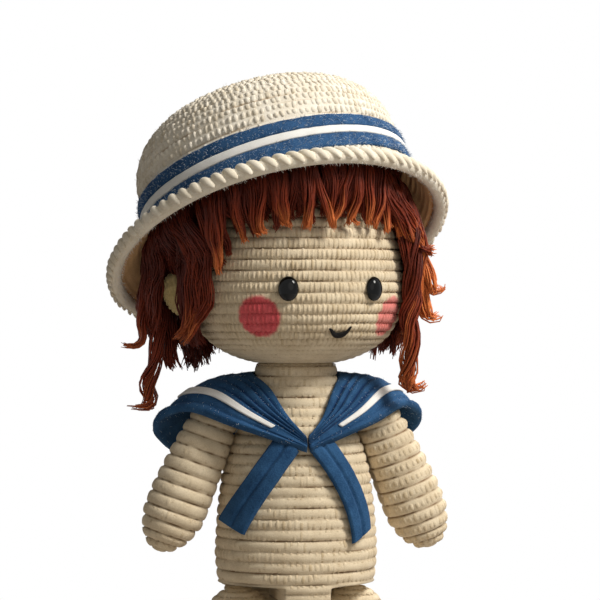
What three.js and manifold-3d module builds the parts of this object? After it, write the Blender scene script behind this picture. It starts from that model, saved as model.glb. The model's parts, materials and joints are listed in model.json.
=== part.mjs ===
// A crocheted doll about 270 mm tall, with a knitted sun hat that lifts off, yarn hair, a felt
// sailor collar, and a head, arms and legs that turn on plastic doll joints.
// The doll stands on z = 0 and its chest faces -Y. Its own right hand is on the -X side.
import * as THREE from "three";
import { mergeVertices } from "three/addons/utils/BufferGeometryUtils.js";
import Module from "manifold-3d";

const wasm = await Module();
wasm.setup();

// Clearances and common walls, in millimetres like every length here.
const gap = 0.3;
const crochetWall = 2.4;
const cutReach = 300;
const weldDistance = 0.0001;

// Head. Heights above the chin, with the widest row at cheekHeight.
const headWidth = 80;
const headDepth = 77;
const headHeight = 80;
const cheekHeight = 30;
const chinFlatDepth = 1;
const headTurn = 10.5;
const lowerFullness = 2.5;
const chinSpreadShare = 0.86;
const upperFullness = 2.2;

// Torso, from its underside to the top of the neck.
const torsoHeight = 104.7;
const hipWidth = 60;
const torsoDepth = 54;
const neckWidth = 30;
const legLength = 66;
const hipDrop = 10;

// Arms hang in a plane that leans out from the shoulder, and legs hang straight.
const shoulderShare = 0.7736;
const armLean = 20;
const armSpread = 3.5;
const armLength = 62;
const armWidth = 24;
const armTopWidth = 18;
const legWidth = 25;
const hipGapWidth = 18;
const legForward = 90;
const legBack = 20;
const footLength = 46;
const footWidth = 26;
const footHeight = 24;
const footForward = 3;

// Plastic doll joints: a disc with a post on the limb's side, and a washer on the torso's side.
const postWidth = 4;
const discThick = 1.4;
const washerThick = 2;
const postRunOut = 1.5;
const limbDiscWidth = 10;
const neckDiscWidth = 20;

// Face.
const eyeWidth = 7.4;
const eyeHeight = 8.9;
const eyeBulge = 2.6;
const eyeLevel = 28;
const eyeAngle = 25;
const eyePostWidth = 3;
const eyePostLength = 9;
const eyeWasherWidth = 9;
const mouthLevel = 12.4;
const mouthAngle = 5;
const mouthSlope = -24;
const mouthWidth = 8.4;
const mouthDrop = 3.4;
const mouthThick = 0.9;
const mouthStroke = 1.5;
const earLevel = 26;
const earHeight = 16;
const earReach = 7;
const earThick = 9;

// Hair: a thick wig cap, trimmed along a plane that leans as the hat does, and hanging locks.
const capRadius = 54.5;
const capLevel = 38;
const capBack = 2;
const capTrim = 14;
const lockWidth = 10;
const lockTip = 3;
const rootShare = 1.4;
const fringeLockWidth = 8.6;
const fringeHalfAngle = 60;
const fringeTopShare = 0.9;

// Hat: a crown that narrows upwards, and a brim that drops outwards, tilts back further than the
// crown and sits to its right.
const hatTiltBack = 23;
const hatTiltSide = -7;
const crownInner = 96.4;
const hatWall = 2.4;
const crownWallHeight = 13;
const crownTaper = 5;
const crownRound = 22;
const crownDome = 1.2;
const brimDrop = 15.5;
const brimBend = 1.25;
const brimWidth = 130.5;
const brimTiltBack = 5.5;
const brimTiltSide = 2.5;
const brimShiftSide = -3.5;
const brimShiftBack = 1.3;
const edgingWidth = 4.7;
const upperBand = 4.4;
const whiteBand = 2.9;
const lowerBand = 5.2;
const bandThick = 1;
const bandFoot = 0.6;

// Collar, its tapes and its ties. The drops are below the neck's top.
const feltThick = 2.4;
const collarArch = 6.4;
const collarVDrop = 28.2;
const collarNeckDrop = 3.2;
const collarTipReach = 50;
const collarTipDrop = 19;
const tapeThick = 0.8;
const tieWidth = 8;
const tieHeight = 29;
const tieSpreadWidth = 21;
const tieThick = 2;
const tieRootShare = 0.55;

const radians = THREE.MathUtils.degToRad;
const capCentre = new THREE.Vector3(0, capBack, capLevel);
const hatSpin = new THREE.Euler(radians(-hatTiltBack), radians(hatTiltSide), 0);
const hatAxis = new THREE.Vector3(0, 0, 1).applyEuler(hatSpin);
const torsoFoot = legLength - hipDrop;
const neckLevel = torsoFoot + torsoHeight;
const chinLevel = neckLevel + gap - chinFlatDepth;
const hipReach = hipGapWidth / 2;

// Solids, and the few shapes that everything is made of.
function solid(geometry) {
  const bare = geometry.index ? geometry.toNonIndexed() : geometry.clone();
  for (const name of Object.keys(bare.attributes)) {
    if (name !== "position") bare.deleteAttribute(name);
  }
  const welded = mergeVertices(bare, weldDistance);
  const points = welded.attributes.position;
  const faces = [];
  let volume = 0;
  const corners = [new THREE.Vector3(), new THREE.Vector3(), new THREE.Vector3()];
  for (let i = 0; i < welded.index.count; i += 3) {
    const [a, b, c] = [0, 1, 2].map((k) => welded.index.getX(i + k));
    if (a === b || b === c || c === a) continue;
    faces.push(a, b, c);
    [a, b, c].forEach((id, k) => corners[k].fromBufferAttribute(points, id));
    volume += corners[0].dot(corners[1].clone().cross(corners[2]));
  }
  if (volume < 0) faces.reverse();
  return new wasm.Manifold(
    new wasm.Mesh({ numProp: 3, vertProperties: points.array, triVerts: new Uint32Array(faces) }),
  );
}

function union(solids) {
  return solids.reduce((whole, next) => whole.add(next));
}

function placed(geometry, position, euler) {
  const turned = euler ? geometry.applyMatrix4(new THREE.Matrix4().makeRotationFromEuler(euler)) : geometry;
  return turned.translate(position.x, position.y, position.z);
}

// A profile of [radius, height] points turned about Z.
function revolve(profile, sides) {
  const points = profile.map(([radius, height]) => new THREE.Vector2(radius, height));
  return new THREE.LatheGeometry(points, sides).rotateX(Math.PI / 2);
}

function rod(radius, low, high, sides) {
  return revolve([[0, low], [radius, low], [radius, high], [0, high]], sides);
}

// The part of space above a plane through a point.
function above(point, normal) {
  const slab = new THREE.BoxGeometry(cutReach, cutReach, cutReach).translate(0, 0, cutReach / 2);
  const spin = new THREE.Quaternion().setFromUnitVectors(new THREE.Vector3(0, 0, 1), normal);
  return solid(slab.applyQuaternion(spin).translate(point.x, point.y, point.z));
}

// A profile drawn in by a wall, at its sides and at both ends. An inner one keeps every other point.
function drawnIn(profile, inset) {
  if (inset === 0) return profile;
  const heights = profile.map(([, height]) => height);
  const low = Math.min(...heights);
  const high = Math.max(...heights);
  const middle = (low + high) / 2;
  const share = 1 - (2 * inset) / (high - low);
  const kept = profile.filter((_, i) => i % 2 === 0 || i === profile.length - 1);
  return kept.map(([radius, height]) => [
    radius > 0 ? Math.max(radius - inset, inset / radius) : 0,
    middle + (height - middle) * share,
  ]);
}

// A strand that tapers along a curve, with flat ends.
function strand(points, radii, sides, steps) {
  const curve = new THREE.CatmullRomCurve3(points);
  const frames = curve.computeFrenetFrames(steps, false);
  const rings = [];
  for (let i = 0; i <= steps; i += 1) {
    const centre = curve.getPointAt(i / steps);
    const along = (i / steps) * (radii.length - 1);
    const k = Math.min(Math.floor(along), radii.length - 2);
    const radius = THREE.MathUtils.lerp(radii[k], radii[k + 1], along - k);
    rings.push(
      Array.from({ length: sides }, (_, j) => {
        const angle = (2 * Math.PI * j) / sides;
        return centre
          .clone()
          .addScaledVector(frames.normals[i], radius * Math.cos(angle))
          .addScaledVector(frames.binormals[i], radius * Math.sin(angle));
      }),
    );
  }
  return tubeOf(rings);
}

// Rings of points joined into a tube and closed by a fan at each end.
function tubeOf(rings) {
  const sides = rings[0].length;
  const points = rings.flat();
  const faces = [];
  for (let i = 0; i + 1 < rings.length; i += 1) {
    for (let j = 0; j < sides; j += 1) {
      const a = i * sides + j;
      const b = i * sides + ((j + 1) % sides);
      faces.push(a, b, b + sides, a, b + sides, a + sides);
    }
  }
  for (const [first, turn] of [[0, 1], [(rings.length - 1) * sides, 0]]) {
    const centre = new THREE.Vector3();
    for (let j = 0; j < sides; j += 1) centre.addScaledVector(points[first + j], 1 / sides);
    const hub = points.push(centre) - 1;
    for (let j = 0; j < sides; j += 1) {
      const a = first + j;
      const b = first + ((j + 1) % sides);
      faces.push(...(turn ? [hub, b, a] : [hub, a, b]));
    }
  }
  const geometry = new THREE.BufferGeometry().setFromPoints(points);
  geometry.setIndex(faces);
  return geometry;
}

// A cloth of even thickness over a surface given as a function of u and v, both from 0 to 1.
function cloth(surface, across, down, thick, lift = 0) {
  const step = 0.001;
  const rings = [];
  for (let i = 0; i <= across; i += 1) {
    const u = i / across;
    const low = [];
    const high = [];
    for (let j = 0; j <= down; j += 1) {
      const v = j / down;
      const near = surface(u, v);
      const du = surface(Math.min(u + step, 1), v).sub(surface(Math.max(u - step, 0), v));
      const dv = surface(u, Math.min(v + step, 1)).sub(surface(u, Math.max(v - step, 0)));
      const normal = du.cross(dv).normalize();
      low.push(near.clone().addScaledVector(normal, lift));
      high.push(near.clone().addScaledVector(normal, lift + thick));
    }
    rings.push([...low, ...high.reverse()]);
  }
  return tubeOf(rings);
}

// Head and its fittings, in a frame with the chin at zero and the face towards -Y.
function headProfile(inset, rows) {
  const radius = headWidth / 2 - inset;
  const flat = chinFlatDepth + inset;
  const profile = [[0, flat]];
  for (let i = -rows; i <= rows; i += 1) {
    const angle = (i / rows) * (Math.PI / 2);
    const power = 2 / (i < 0 ? lowerFullness : upperFullness);
    const half = (i < 0 ? cheekHeight : headHeight - cheekHeight) - inset;
    const height = cheekHeight + Math.sign(i) * half * Math.abs(Math.sin(angle)) ** power;
    const wide = i === rows ? 0 : radius * Math.cos(angle) ** power;
    if (height > flat && (wide > 0 || i === rows)) profile.push([wide, height]);
  }
  const [wide, height] = profile[1];
  profile.splice(1, 1, [wide * chinSpreadShare, flat], [wide, Math.max(height, flat + chinFlatDepth / 2)]);
  return profile;
}

function headForm(inset, sides, rows) {
  return solid(revolve(headProfile(inset, rows), sides).scale(1, headDepth / headWidth, 1));
}

// The head's radius at a height above the chin, and a point on its skin at an angle from the face.
function headRadius(height) {
  const upper = height > cheekHeight;
  const half = upper ? headHeight - cheekHeight : cheekHeight;
  const power = upper ? upperFullness : lowerFullness;
  const share = Math.min(Math.abs(height - cheekHeight) / half, 1);
  return (headWidth / 2) * (1 - share ** power) ** (1 / power);
}

function onHead(angle, height, stand = 0) {
  const radius = headRadius(height) + stand;
  const turn = radians(angle);
  return new THREE.Vector3(
    radius * Math.sin(turn),
    -radius * Math.cos(turn) * (headDepth / headWidth),
    height,
  );
}

function around(angle, radius, height) {
  const turn = radians(angle);
  return new THREE.Vector3(radius * Math.sin(turn), -radius * Math.cos(turn), height);
}

function eyePost(grow) {
  const low = -eyePostLength;
  return rod(eyePostWidth / 2 + grow, low - grow, gap, 8);
}

function eyePlace(side) {
  const spot = onHead(side * eyeAngle, eyeLevel, 2 * gap);
  const euler = new THREE.Euler(Math.PI / 2, 0, radians(side * eyeAngle), "ZYX");
  return [spot, euler];
}

function eyeDome() {
  const steps = 4;
  const dome = [[0, 0]];
  for (let i = 0; i <= steps; i += 1) {
    const angle = (i / steps) * (Math.PI / 2);
    const wide = i === steps ? 0 : (eyeWidth / 2) * Math.cos(angle);
    dome.push([wide, eyeBulge * Math.sin(angle)]);
  }
  const oval = revolve(dome, 16).scale(1, eyeHeight / eyeWidth, 1);
  return solid(oval).add(solid(rod(eyePostWidth / 2, -eyePostLength, eyeBulge / 2, 8)));
}

function washer(inner, outer, low, high, sides) {
  return revolve([[inner, low], [outer, low], [outer, high], [inner, high], [inner, low]], sides);
}

function mouthShape() {
  const half = mouthWidth / 2;
  const shape = new THREE.Shape();
  shape.moveTo(-half, 0);
  shape.quadraticCurveTo(0, -2 * mouthDrop, half, 0);
  shape.quadraticCurveTo(0, -2 * mouthDrop + 2 * mouthStroke, -half, 0);
  return new THREE.ExtrudeGeometry(shape, { depth: mouthThick, bevelEnabled: false, curveSegments: 8 });
}

// Torso and limbs. Each form takes an inset, so that shell and stuffing share one outline.
const neckShare = neckWidth / hipWidth;
const torsoShares = [
  [0, 0], [0.4, 0.01], [0.66, 0.05], [0.84, 0.12], [0.96, 0.22], [1, 0.33], [0.975, 0.47],
  [0.91, 0.62], [0.83, 0.7], [0.73, 0.77], [0.6, 0.84], [0.54, 0.9], [neckShare, 0.96],
  [neckShare, 1], [0, 1],
];
const armShares = [[0, 0], [0.42, 0.03], [0.78, 0.12], [0.97, 0.26], [1, 0.42], [0.93, 0.68], [0.84, 0.86]];
const legShares = [[0, 0], [0.7, 0.04], [0.82, 0.16], [0.86, 0.4], [0.94, 0.7], [0.99, 0.9]];
const footShares = [
  [0, 0], [0.8, 0], [0.95, 0.1], [1, 0.34], [0.93, 0.62], [0.72, 0.85], [0.38, 0.97], [0, 1],
];

// A limb's outline from its tip to the joint at zero, and a round end above the joint.
function limbProfile(shares, width, topWidth, tip) {
  const steps = 4;
  const shaft = shares.map(([wide, high]) => [wide * (width / 2), tip * (1 - high)]);
  for (let i = 0; i <= steps; i += 1) {
    const angle = (i / steps) * (Math.PI / 2);
    const wide = i === steps ? 0 : (topWidth / 2) * Math.cos(angle);
    shaft.push([wide, (topWidth / 2) * Math.sin(angle)]);
  }
  return shaft;
}

function torsoProfile() {
  return torsoShares.map(([wide, high]) => [wide * (hipWidth / 2), torsoFoot + high * torsoHeight]);
}

function torsoRadius(height) {
  const profile = torsoProfile();
  for (let i = 1; i + 1 < profile.length; i += 1) {
    const [wide, high] = profile[i];
    const [nextWide, nextHigh] = profile[i + 1];
    if (height <= nextHigh) {
      const share = THREE.MathUtils.clamp((height - high) / (nextHigh - high), 0, 1);
      return THREE.MathUtils.lerp(wide, nextWide, share);
    }
  }
  return neckWidth / 2;
}

// What a leg sweeps between its limits, from the hip slab outwards.
function legSweep(side, grow) {
  const radius = legWidth / 2 + gap + grow;
  const back = radians(legBack);
  const front = Math.PI - radians(legForward);
  const edge = (angle, reach) => [
    radius * Math.cos(angle) + reach * Math.sin(angle),
    radius * Math.sin(angle) - reach * Math.cos(angle),
  ];
  const shape = new THREE.Shape();
  shape.moveTo(...edge(front, -cutReach));
  shape.lineTo(...edge(front, 0));
  shape.absarc(0, 0, radius, front, back, true);
  shape.lineTo(...edge(back, cutReach));
  shape.lineTo(-cutReach, -cutReach);
  const prism = new THREE.ExtrudeGeometry(shape, {
    depth: cutReach,
    bevelEnabled: false,
    curveSegments: 8,
  });
  prism.rotateX(Math.PI / 2).rotateZ(Math.PI / 2);
  prism.translate(hipReach - grow, 0, legLength);
  return side > 0 ? solid(prism) : solid(prism).mirror([1, 0, 0]);
}

function torsoForm(inset, sides) {
  const form = solid(revolve(drawnIn(torsoProfile(), inset), sides).scale(1, torsoDepth / hipWidth, 1));
  return form.subtract(legSweep(1, inset)).subtract(legSweep(-1, inset));
}

// Limbs are drawn with the joint at zero and the torso's side of the contact plane at x = 0.
function armForm(inset, sides) {
  const round = armTopWidth / 2;
  const profile = limbProfile(armShares, armWidth, armTopWidth, round - armLength);
  const form = revolve(drawnIn(profile, inset), sides);
  form.translate(round, 0, 0).rotateY(radians(-armSpread));
  return solid(form).intersect(above(new THREE.Vector3(gap + inset, 0, 0), new THREE.Vector3(1, 0, 0)));
}

function legForm(inset, sides) {
  const round = legWidth / 2;
  const bottom = footHeight / 2 - legLength;
  const profile = limbProfile(legShares, legWidth, legWidth, bottom);
  const thigh = revolve(drawnIn(profile, inset), sides);
  thigh.translate(round, 0, 0);
  const sole = footShares.map(([wide, high]) => [(wide * footWidth) / 2, high * footHeight]);
  const foot = revolve(drawnIn(sole, inset), sides);
  foot.scale(1, (footLength / 2 - inset) / (footWidth / 2 - inset), 1);
  foot.translate(round, -footForward, -legLength);
  return solid(thigh)
    .add(solid(foot))
    .intersect(above(new THREE.Vector3(gap + inset, 0, 0), new THREE.Vector3(1, 0, 0)));
}

// A doll joint along +X: the disc inside the limb, the post through both walls.
function jointPost(discWidth, grow) {
  const disc = gap + crochetWall + gap;
  const reach = gap + crochetWall + gap + washerThick + postRunOut;
  const profile = [
    [0, -reach - grow],
    [postWidth / 2 + grow, -reach - grow],
    [postWidth / 2 + grow, disc - grow],
    [discWidth / 2 + grow, disc - grow],
    [discWidth / 2 + grow, disc + discThick + grow],
    [0, disc + discThick + grow],
  ];
  return revolve(profile, 16).rotateY(Math.PI / 2);
}

function jointWasher(outer, grow) {
  const far = -(crochetWall + gap + gap / 2);
  const ring = washer(postWidth / 2 + gap, outer / 2 + grow, far - washerThick - grow, far + grow, 16);
  return ring.rotateY(Math.PI / 2);
}

// The room that a joint takes on the washer's side, which also flattens the wall under it.
function washerRoom(outer, top = 0) {
  const low = -(crochetWall + 4 * gap + washerThick + postRunOut);
  return rod(outer / 2 + gap, low, top, 16).rotateY(Math.PI / 2);
}

const shoulderHeight = torsoFoot + torsoHeight * shoulderShare;
const shoulderReach = torsoRadius(shoulderHeight) + gap;
const sideSpin = (side) => new THREE.Euler(0, radians(-armLean), side > 0 ? 0 : Math.PI, "ZYX");
const shoulder = (side) => new THREE.Vector3(side * shoulderReach, 0, shoulderHeight);
const hip = (side) => new THREE.Vector3(side * hipReach, 0, legLength);
const hipSpin = (side) => new THREE.Euler(0, 0, side > 0 ? 0 : Math.PI);
const upright = new THREE.Euler(0, -Math.PI / 2, 0);
const neckTop = new THREE.Vector3(0, 0, neckLevel);

// Where each joint crosses the torso's wall, and how wide its washer is.
const torsoJoints = [
  ...[1, -1].map((side) => [shoulder(side), sideSpin(side), limbDiscWidth]),
  ...[1, -1].map((side) => [hip(side), hipSpin(side), limbDiscWidth]),
  [neckTop, upright, neckDiscWidth],
];

function torsoShell() {
  let shell = torsoForm(0, 24).subtract(torsoForm(crochetWall, 14));
  for (const [place, spin, wide] of torsoJoints) {
    shell = shell.subtract(solid(placed(jointPost(0, gap), place, spin)));
    shell = shell.subtract(solid(placed(washerRoom(wide, -crochetWall), place, spin)));
  }
  return shell;
}

function torsoStuffing() {
  return torsoJoints.reduce(
    (left, [place, spin, wide]) => left.subtract(solid(placed(washerRoom(wide), place, spin))),
    torsoForm(crochetWall + gap, 14),
  );
}

function limbShell(form, sides) {
  return form(0, sides).subtract(form(crochetWall, 10)).subtract(solid(jointPost(limbDiscWidth, gap)));
}

function limbStuffing(form) {
  return form(crochetWall + gap, 10).subtract(solid(jointPost(limbDiscWidth, gap)));
}

function headShell() {
  let shell = headForm(0, 28, 7).subtract(headForm(crochetWall, 14, 4));
  for (const side of [1, -1]) {
    const seat = rod(eyeWasherWidth / 2 + gap, -eyePostLength, -crochetWall - gap, 10);
    shell = shell.subtract(solid(placed(eyePost(gap), ...eyePlace(side))));
    shell = shell.subtract(solid(placed(seat, ...eyePlace(side))));
  }
  return shell.subtract(solid(placed(jointPost(0, gap), headFoot, upright)));
}

function headStuffing() {
  let stuffing = headForm(crochetWall + gap, 14, 4);
  for (const side of [1, -1]) {
    const room = rod(eyeWasherWidth / 2 + gap, -eyePostLength - gap, 0, 10);
    stuffing = stuffing.subtract(solid(placed(room, ...eyePlace(side))));
  }
  return stuffing.subtract(solid(placed(jointPost(neckDiscWidth, gap), headFoot, upright)));
}
const headFoot = new THREE.Vector3(0, 0, chinFlatDepth - gap);

function eyeWasher() {
  const far = -(crochetWall + 2 * gap);
  return washer(eyePostWidth / 2 + gap, eyeWasherWidth / 2, far - discThick, far, 10);
}

function ear(side) {
  const centre = new THREE.Vector3(side * (headWidth / 2 - gap), 0, earLevel);
  const body = new THREE.SphereGeometry(1, 12, 8).rotateX(Math.PI / 2);
  body.scale(earReach, earThick / 2, earHeight / 2).translate(centre.x, centre.y, centre.z);
  const dent = new THREE.SphereGeometry(1, 8, 6).rotateX(Math.PI / 2);
  dent.scale(earReach / 2, earThick / 3, earHeight / 4);
  dent.translate(centre.x + side * (earReach / 2), centre.y - earThick / 2, centre.z);
  return solid(body).subtract(solid(dent)).subtract(headForm(-gap, 28, 7));
}

// Hair. A lock falls from the cap's trimmed edge to an end given by angle, radius and height.
function trimPoint(offset) {
  return capCentre.clone().addScaledVector(hatAxis, capTrim + offset);
}

function hairCap() {
  const ball = new THREE.SphereGeometry(capRadius, 24, 14).rotateX(Math.PI / 2);
  ball.translate(capCentre.x, capCentre.y, capCentre.z);
  return solid(ball).intersect(above(trimPoint(0), hatAxis)).subtract(headForm(-gap, 28, 7));
}

function trimHeight(x, y) {
  const base = trimPoint(0);
  return base.z - ((x - base.x) * hatAxis.x + (y - base.y) * hatAxis.y) / hatAxis.z;
}

function lock([angle, topRadius, endAngle, endRadius, endHeight, widthShare], grow) {
  const flat = around(angle, topRadius, 0);
  const top = flat.setZ(trimHeight(flat.x, flat.y) + lockWidth / 4);
  const middle = around(
    (angle + endAngle) / 2,
    Math.max((topRadius + endRadius) / 2, endRadius) + lockWidth / 8,
    (top.z + endHeight) / 2,
  );
  const end = around(endAngle, endRadius, endHeight);
  const wide = (lockWidth / 2) * widthShare;
  const radii = [wide * rootShare, wide, (wide + lockTip / 2) / 2, lockTip / 2];
  return solid(strand([top, middle, end], radii.map((radius) => radius + grow), 5, 4));
}

function bundle(locks, grow = 0) {
  return union(locks.map((one) => lock(one, grow)));
}

// Hair is pressed in by the cap above it, the head behind it and the brim around it.
function pressed(hair) {
  const inside = hatWall + 2 * gap;
  const ring = [...brimLine(inside).reverse(), ...crownLine(inside).slice(0, 2)];
  const [, high] = ring[ring.length - 1];
  const foot = [ring[0][0], edgingLevel];
  const room = skewed(revolve([foot, ...ring, [cutReach, high], [cutReach, edgingLevel], foot], 30));
  return hair
    .subtract(above(trimPoint(-gap), hatAxis))
    .subtract(headForm(-gap, 28, 7))
    .subtract(solid(placed(room, capCentre, hatSpin)))
    .subtract(solid(placed(brimEdging(2 * gap), capCentre, hatSpin)));
}

// Ends of the locks as shares: the angle from the face over 180, radii over the head's half
// width, and the end's height over the head's height.
function locksFrom(shares) {
  return shares.map(([angle, top, endAngle, end, height, width]) => [
    angle * 180,
    (top * headWidth) / 2,
    endAngle * 180,
    (end * headWidth) / 2,
    height * headHeight,
    width,
  ]);
}

function fringe(grow = 0) {
  const locks = fringeEndShares.map((endShare, i) => {
    const angle = fringeHalfAngle * ((2 * i) / (fringeEndShares.length - 1) - 1);
    const wide = fringeLockWidth / 2;
    const start = onHead(angle, headHeight * fringeTopShare, wide + gap);
    const end = onHead(angle, headHeight * endShare, wide);
    const middle = onHead(angle, (start.z + end.z) / 2, wide + gap);
    const radii = [wide, wide, wide, lockTip / 2].map((radius) => radius + grow);
    return solid(strand([start, middle, end], radii, 5, 3));
  });
  return union(locks);
}
const fringeEndShares = [0.46, 0.51, 0.58, 0.61, 0.62, 0.63, 0.64, 0.64, 0.63, 0.62, 0.61, 0.58, 0.51];

// Hat, in a frame with the cap's centre at zero and the crown upwards.
const seatHeight = Math.sqrt(capRadius ** 2 - (crownInner / 2 - 2 * gap) ** 2);
const crownOuter = crownInner / 2 + hatWall;
const taper = Math.tan(radians(crownTaper));

function crownLine(inset) {
  const points = [];
  const shoulderWide = crownOuter - crownWallHeight * taper;
  const steps = 4;
  points.push([crownOuter - inset, seatHeight]);
  for (let i = 0; i <= steps; i += 1) {
    const angle = (i / steps) * (Math.PI / 2);
    points.push([
      shoulderWide - crownRound + (crownRound - inset) * Math.cos(angle),
      seatHeight + crownWallHeight + (crownRound - inset) * Math.sin(angle),
    ]);
  }
  points.push([0, seatHeight + crownWallHeight + crownRound - inset + crownDome]);
  return points;
}

// The brim's fall from the crown's foot, which bends outwards as it goes down.
function brimLine(inset) {
  const points = [];
  const steps = 3;
  for (let i = 1; i <= steps; i += 1) {
    const share = i / steps;
    points.push([
      crownOuter - inset + (brimEdge - crownOuter) * share,
      seatHeight - brimDrop * share ** brimBend,
    ]);
  }
  return points;
}
const brimEdge = brimWidth / 2 - edgingWidth;
const edgingLevel = seatHeight - brimDrop - edgingWidth / 2 - gap;

// Moves what lies below the crown's foot by the brim's own tilt and shift, more the lower it is.
function skewed(geometry) {
  const points = geometry.attributes.position;
  for (let i = 0; i < points.count; i += 1) {
    const [x, y, z] = [points.getX(i), points.getY(i), points.getZ(i)];
    const share = THREE.MathUtils.clamp((seatHeight - z) / brimDrop, 0, 1);
    const rise = -y * Math.tan(radians(brimTiltBack)) - x * Math.tan(radians(brimTiltSide));
    points.setXYZ(i, x + share * brimShiftSide, y + share * brimShiftBack, z + share * rise);
  }
  return geometry;
}

function hatBody() {
  const outside = [...brimLine(0).reverse(), ...crownLine(0)];
  const inside = [...brimLine(hatWall).reverse(), ...crownLine(hatWall)].reverse();
  return solid(skewed(revolve([...inside, ...outside], 28)));
}

function brimEdging(grow) {
  const radius = edgingWidth / 2;
  const centre = [brimEdge + radius + gap - hatWall / 2, edgingLevel];
  const sides = 6;
  const ring = Array.from({ length: sides + 1 }, (_, i) => {
    const angle = (2 * Math.PI * (i % sides)) / sides;
    return [
      centre[0] + (radius + grow) * Math.cos(angle),
      centre[1] + (radius + grow) * Math.sin(angle),
    ];
  });
  return skewed(revolve(ring, 28));
}

function hatBand(low, high) {
  const at = (height, out) => [
    crownOuter - (height - seatHeight) * taper + out,
    height,
  ];
  const ring = [at(low, gap), at(low, gap + bandThick), at(high, gap + bandThick), at(high, gap)];
  return solid(revolve([...ring, ring[0]], 28));
}

// Collar: one felt cape from the V at the chest round the neck, as inner and outer edges.
function collarSurface(u, v) {
  const half = Math.abs(2 * u - 1);
  const side = u < 0.5 ? -1 : 1;
  const inner = collarNeck.getPoint(half);
  const outer = collarHem.getPoint(half);
  const point = inner.clone().lerp(outer, v);
  point.z += collarArch * Math.sin(Math.PI * v) * (1 - half ** 4);
  point.x *= side;
  return point;
}
const neckEdge = (neckWidth + feltThick) / 2;
const collarVLevel = neckLevel - collarVDrop;
const chestFront = (torsoRadius(collarVLevel) * torsoDepth) / hipWidth + feltThick + gap;

// The edges' points as shares of the reach to the side, the chest's front and the fall to the V.
const neckEdgeShares = [
  [0, 0.586, 1], [0.75, 0.41, 1], [1, 0, 0.98], [0.74, -0.53, 0.78], [0.42, -0.82, 0.4],
  [0.08, -1, 0.087],
];
const hemShares = [
  [0, 1.238, -1], [0.68, 1.119, -0.78], [0.98, 0.62, 0.2], [1, 0.119, 1], [0.8, -0.36, 1.3],
  [0.5, -0.85, 0.7], [0.058, -1.095, -0.22],
];
const collarEdge = (shares, reach, top) => new THREE.CatmullRomCurve3(shares.map(([x, y, z]) => (
  new THREE.Vector3(x * reach, y * chestFront, collarVLevel + z * (top - collarVLevel))
)));
const collarNeck = collarEdge(neckEdgeShares, neckEdge, neckLevel - collarNeckDrop);
const collarHem = collarEdge(hemShares, collarTipReach, neckLevel - collarTipDrop);

function collar() {
  const grown = torsoProfile().map(([wide, high]) => [wide > 0 ? wide + 2 * gap : 0, high]);
  const room = solid(revolve(grown, 24).scale(1, torsoDepth / hipWidth, 1));
  return solid(cloth(collarSurface, 28, 4, -feltThick)).subtract(room);
}

// A tape sewn on each front flap, a tape's width and a little more above the hem.
function collarTape(side) {
  const start = side > 0 ? tapeStartShare : 1 - tapeStartShare;
  const end = side > 0 ? tapeEndShare : 1 - tapeEndShare;
  const surface = (u, v) => {
    const along = THREE.MathUtils.lerp(start, end, side > 0 ? u : 1 - u);
    return collarSurface(along, THREE.MathUtils.lerp(tapeHighShare, tapeLowShare, v));
  };
  return solid(cloth(surface, 10, 1, tapeThick, gap));
}
const tapeStartShare = 0.72;
const tapeEndShare = 0.95;
const tapeHighShare = 0.68;
const tapeLowShare = 0.76;

// A tie lies on the torso from the V downwards and outwards, and ends square.
function tie(side) {
  const top = collarVLevel - 2 * feltThick;
  const slope = Math.atan2(tieSpreadWidth, tieHeight);
  const surface = (u, v) => {
    const out = (0.5 - v) * tieWidth;
    const x = tieWidth * tieRootShare + tieSpreadWidth * u + out * Math.cos(slope);
    const z = top - tieHeight * u + out * Math.sin(slope);
    const radius = torsoRadius(z) + 2 * gap;
    const y = -Math.sqrt(Math.max(radius ** 2 - x ** 2, 0)) * (torsoDepth / hipWidth);
    return new THREE.Vector3(side * x, y, z);
  };
  return solid(cloth(surface, 8, 3, side * tieThick * -1));
}

// Materials, one for each thing the doll is made of.
const yarnCream = { color: 0xe9dcbb, roughness: 0.95 };
const hatCream = { color: 0xeadfc6, roughness: 0.95 };
const hairYarn = { color: 0x9a3416, roughness: 0.9 };
const feltBlue = { color: 0x1d3f70, roughness: 0.95 };
const bandBlue = { color: 0x22427a, roughness: 0.95 };
const tapeWhite = { color: 0xeeece6, roughness: 0.9 };
const eyeBlack = { color: 0x08080a, roughness: 0.12 };
const threadBlack = { color: 0x141210, roughness: 0.8 };
const washerWhite = { color: 0xe4e4e0, roughness: 0.5 };
const fibreWhite = { color: 0xf4f2ee, roughness: 1 };

function mesh(name, shape, look, group) {
  const made = shape.getMesh();
  const geometry = new THREE.BufferGeometry();
  geometry.setAttribute("position", new THREE.BufferAttribute(made.vertProperties, 3));
  geometry.setIndex(new THREE.BufferAttribute(made.triVerts, 1));
  geometry.computeVertexNormals();
  const node = new THREE.Mesh(geometry, new THREE.MeshStandardMaterial({ metalness: 0, ...look }));
  node.name = name;
  group.add(node);
  return node;
}

const sides = [["left", 1], ["right", -1]];

function makeTorso() {
  const group = new THREE.Group();
  mesh("torso_shell", torsoShell(), yarnCream, group);
  mesh("torso_stuffing", torsoStuffing(), fibreWhite, group);
  mesh("collar", collar(), feltBlue, group);
  for (const [name, side] of sides) {
    mesh(`collar_tape_${name}`, collarTape(side), tapeWhite, group);
    mesh(`tie_${name}`, tie(side), feltBlue, group);
  }
  return group;
}

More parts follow.
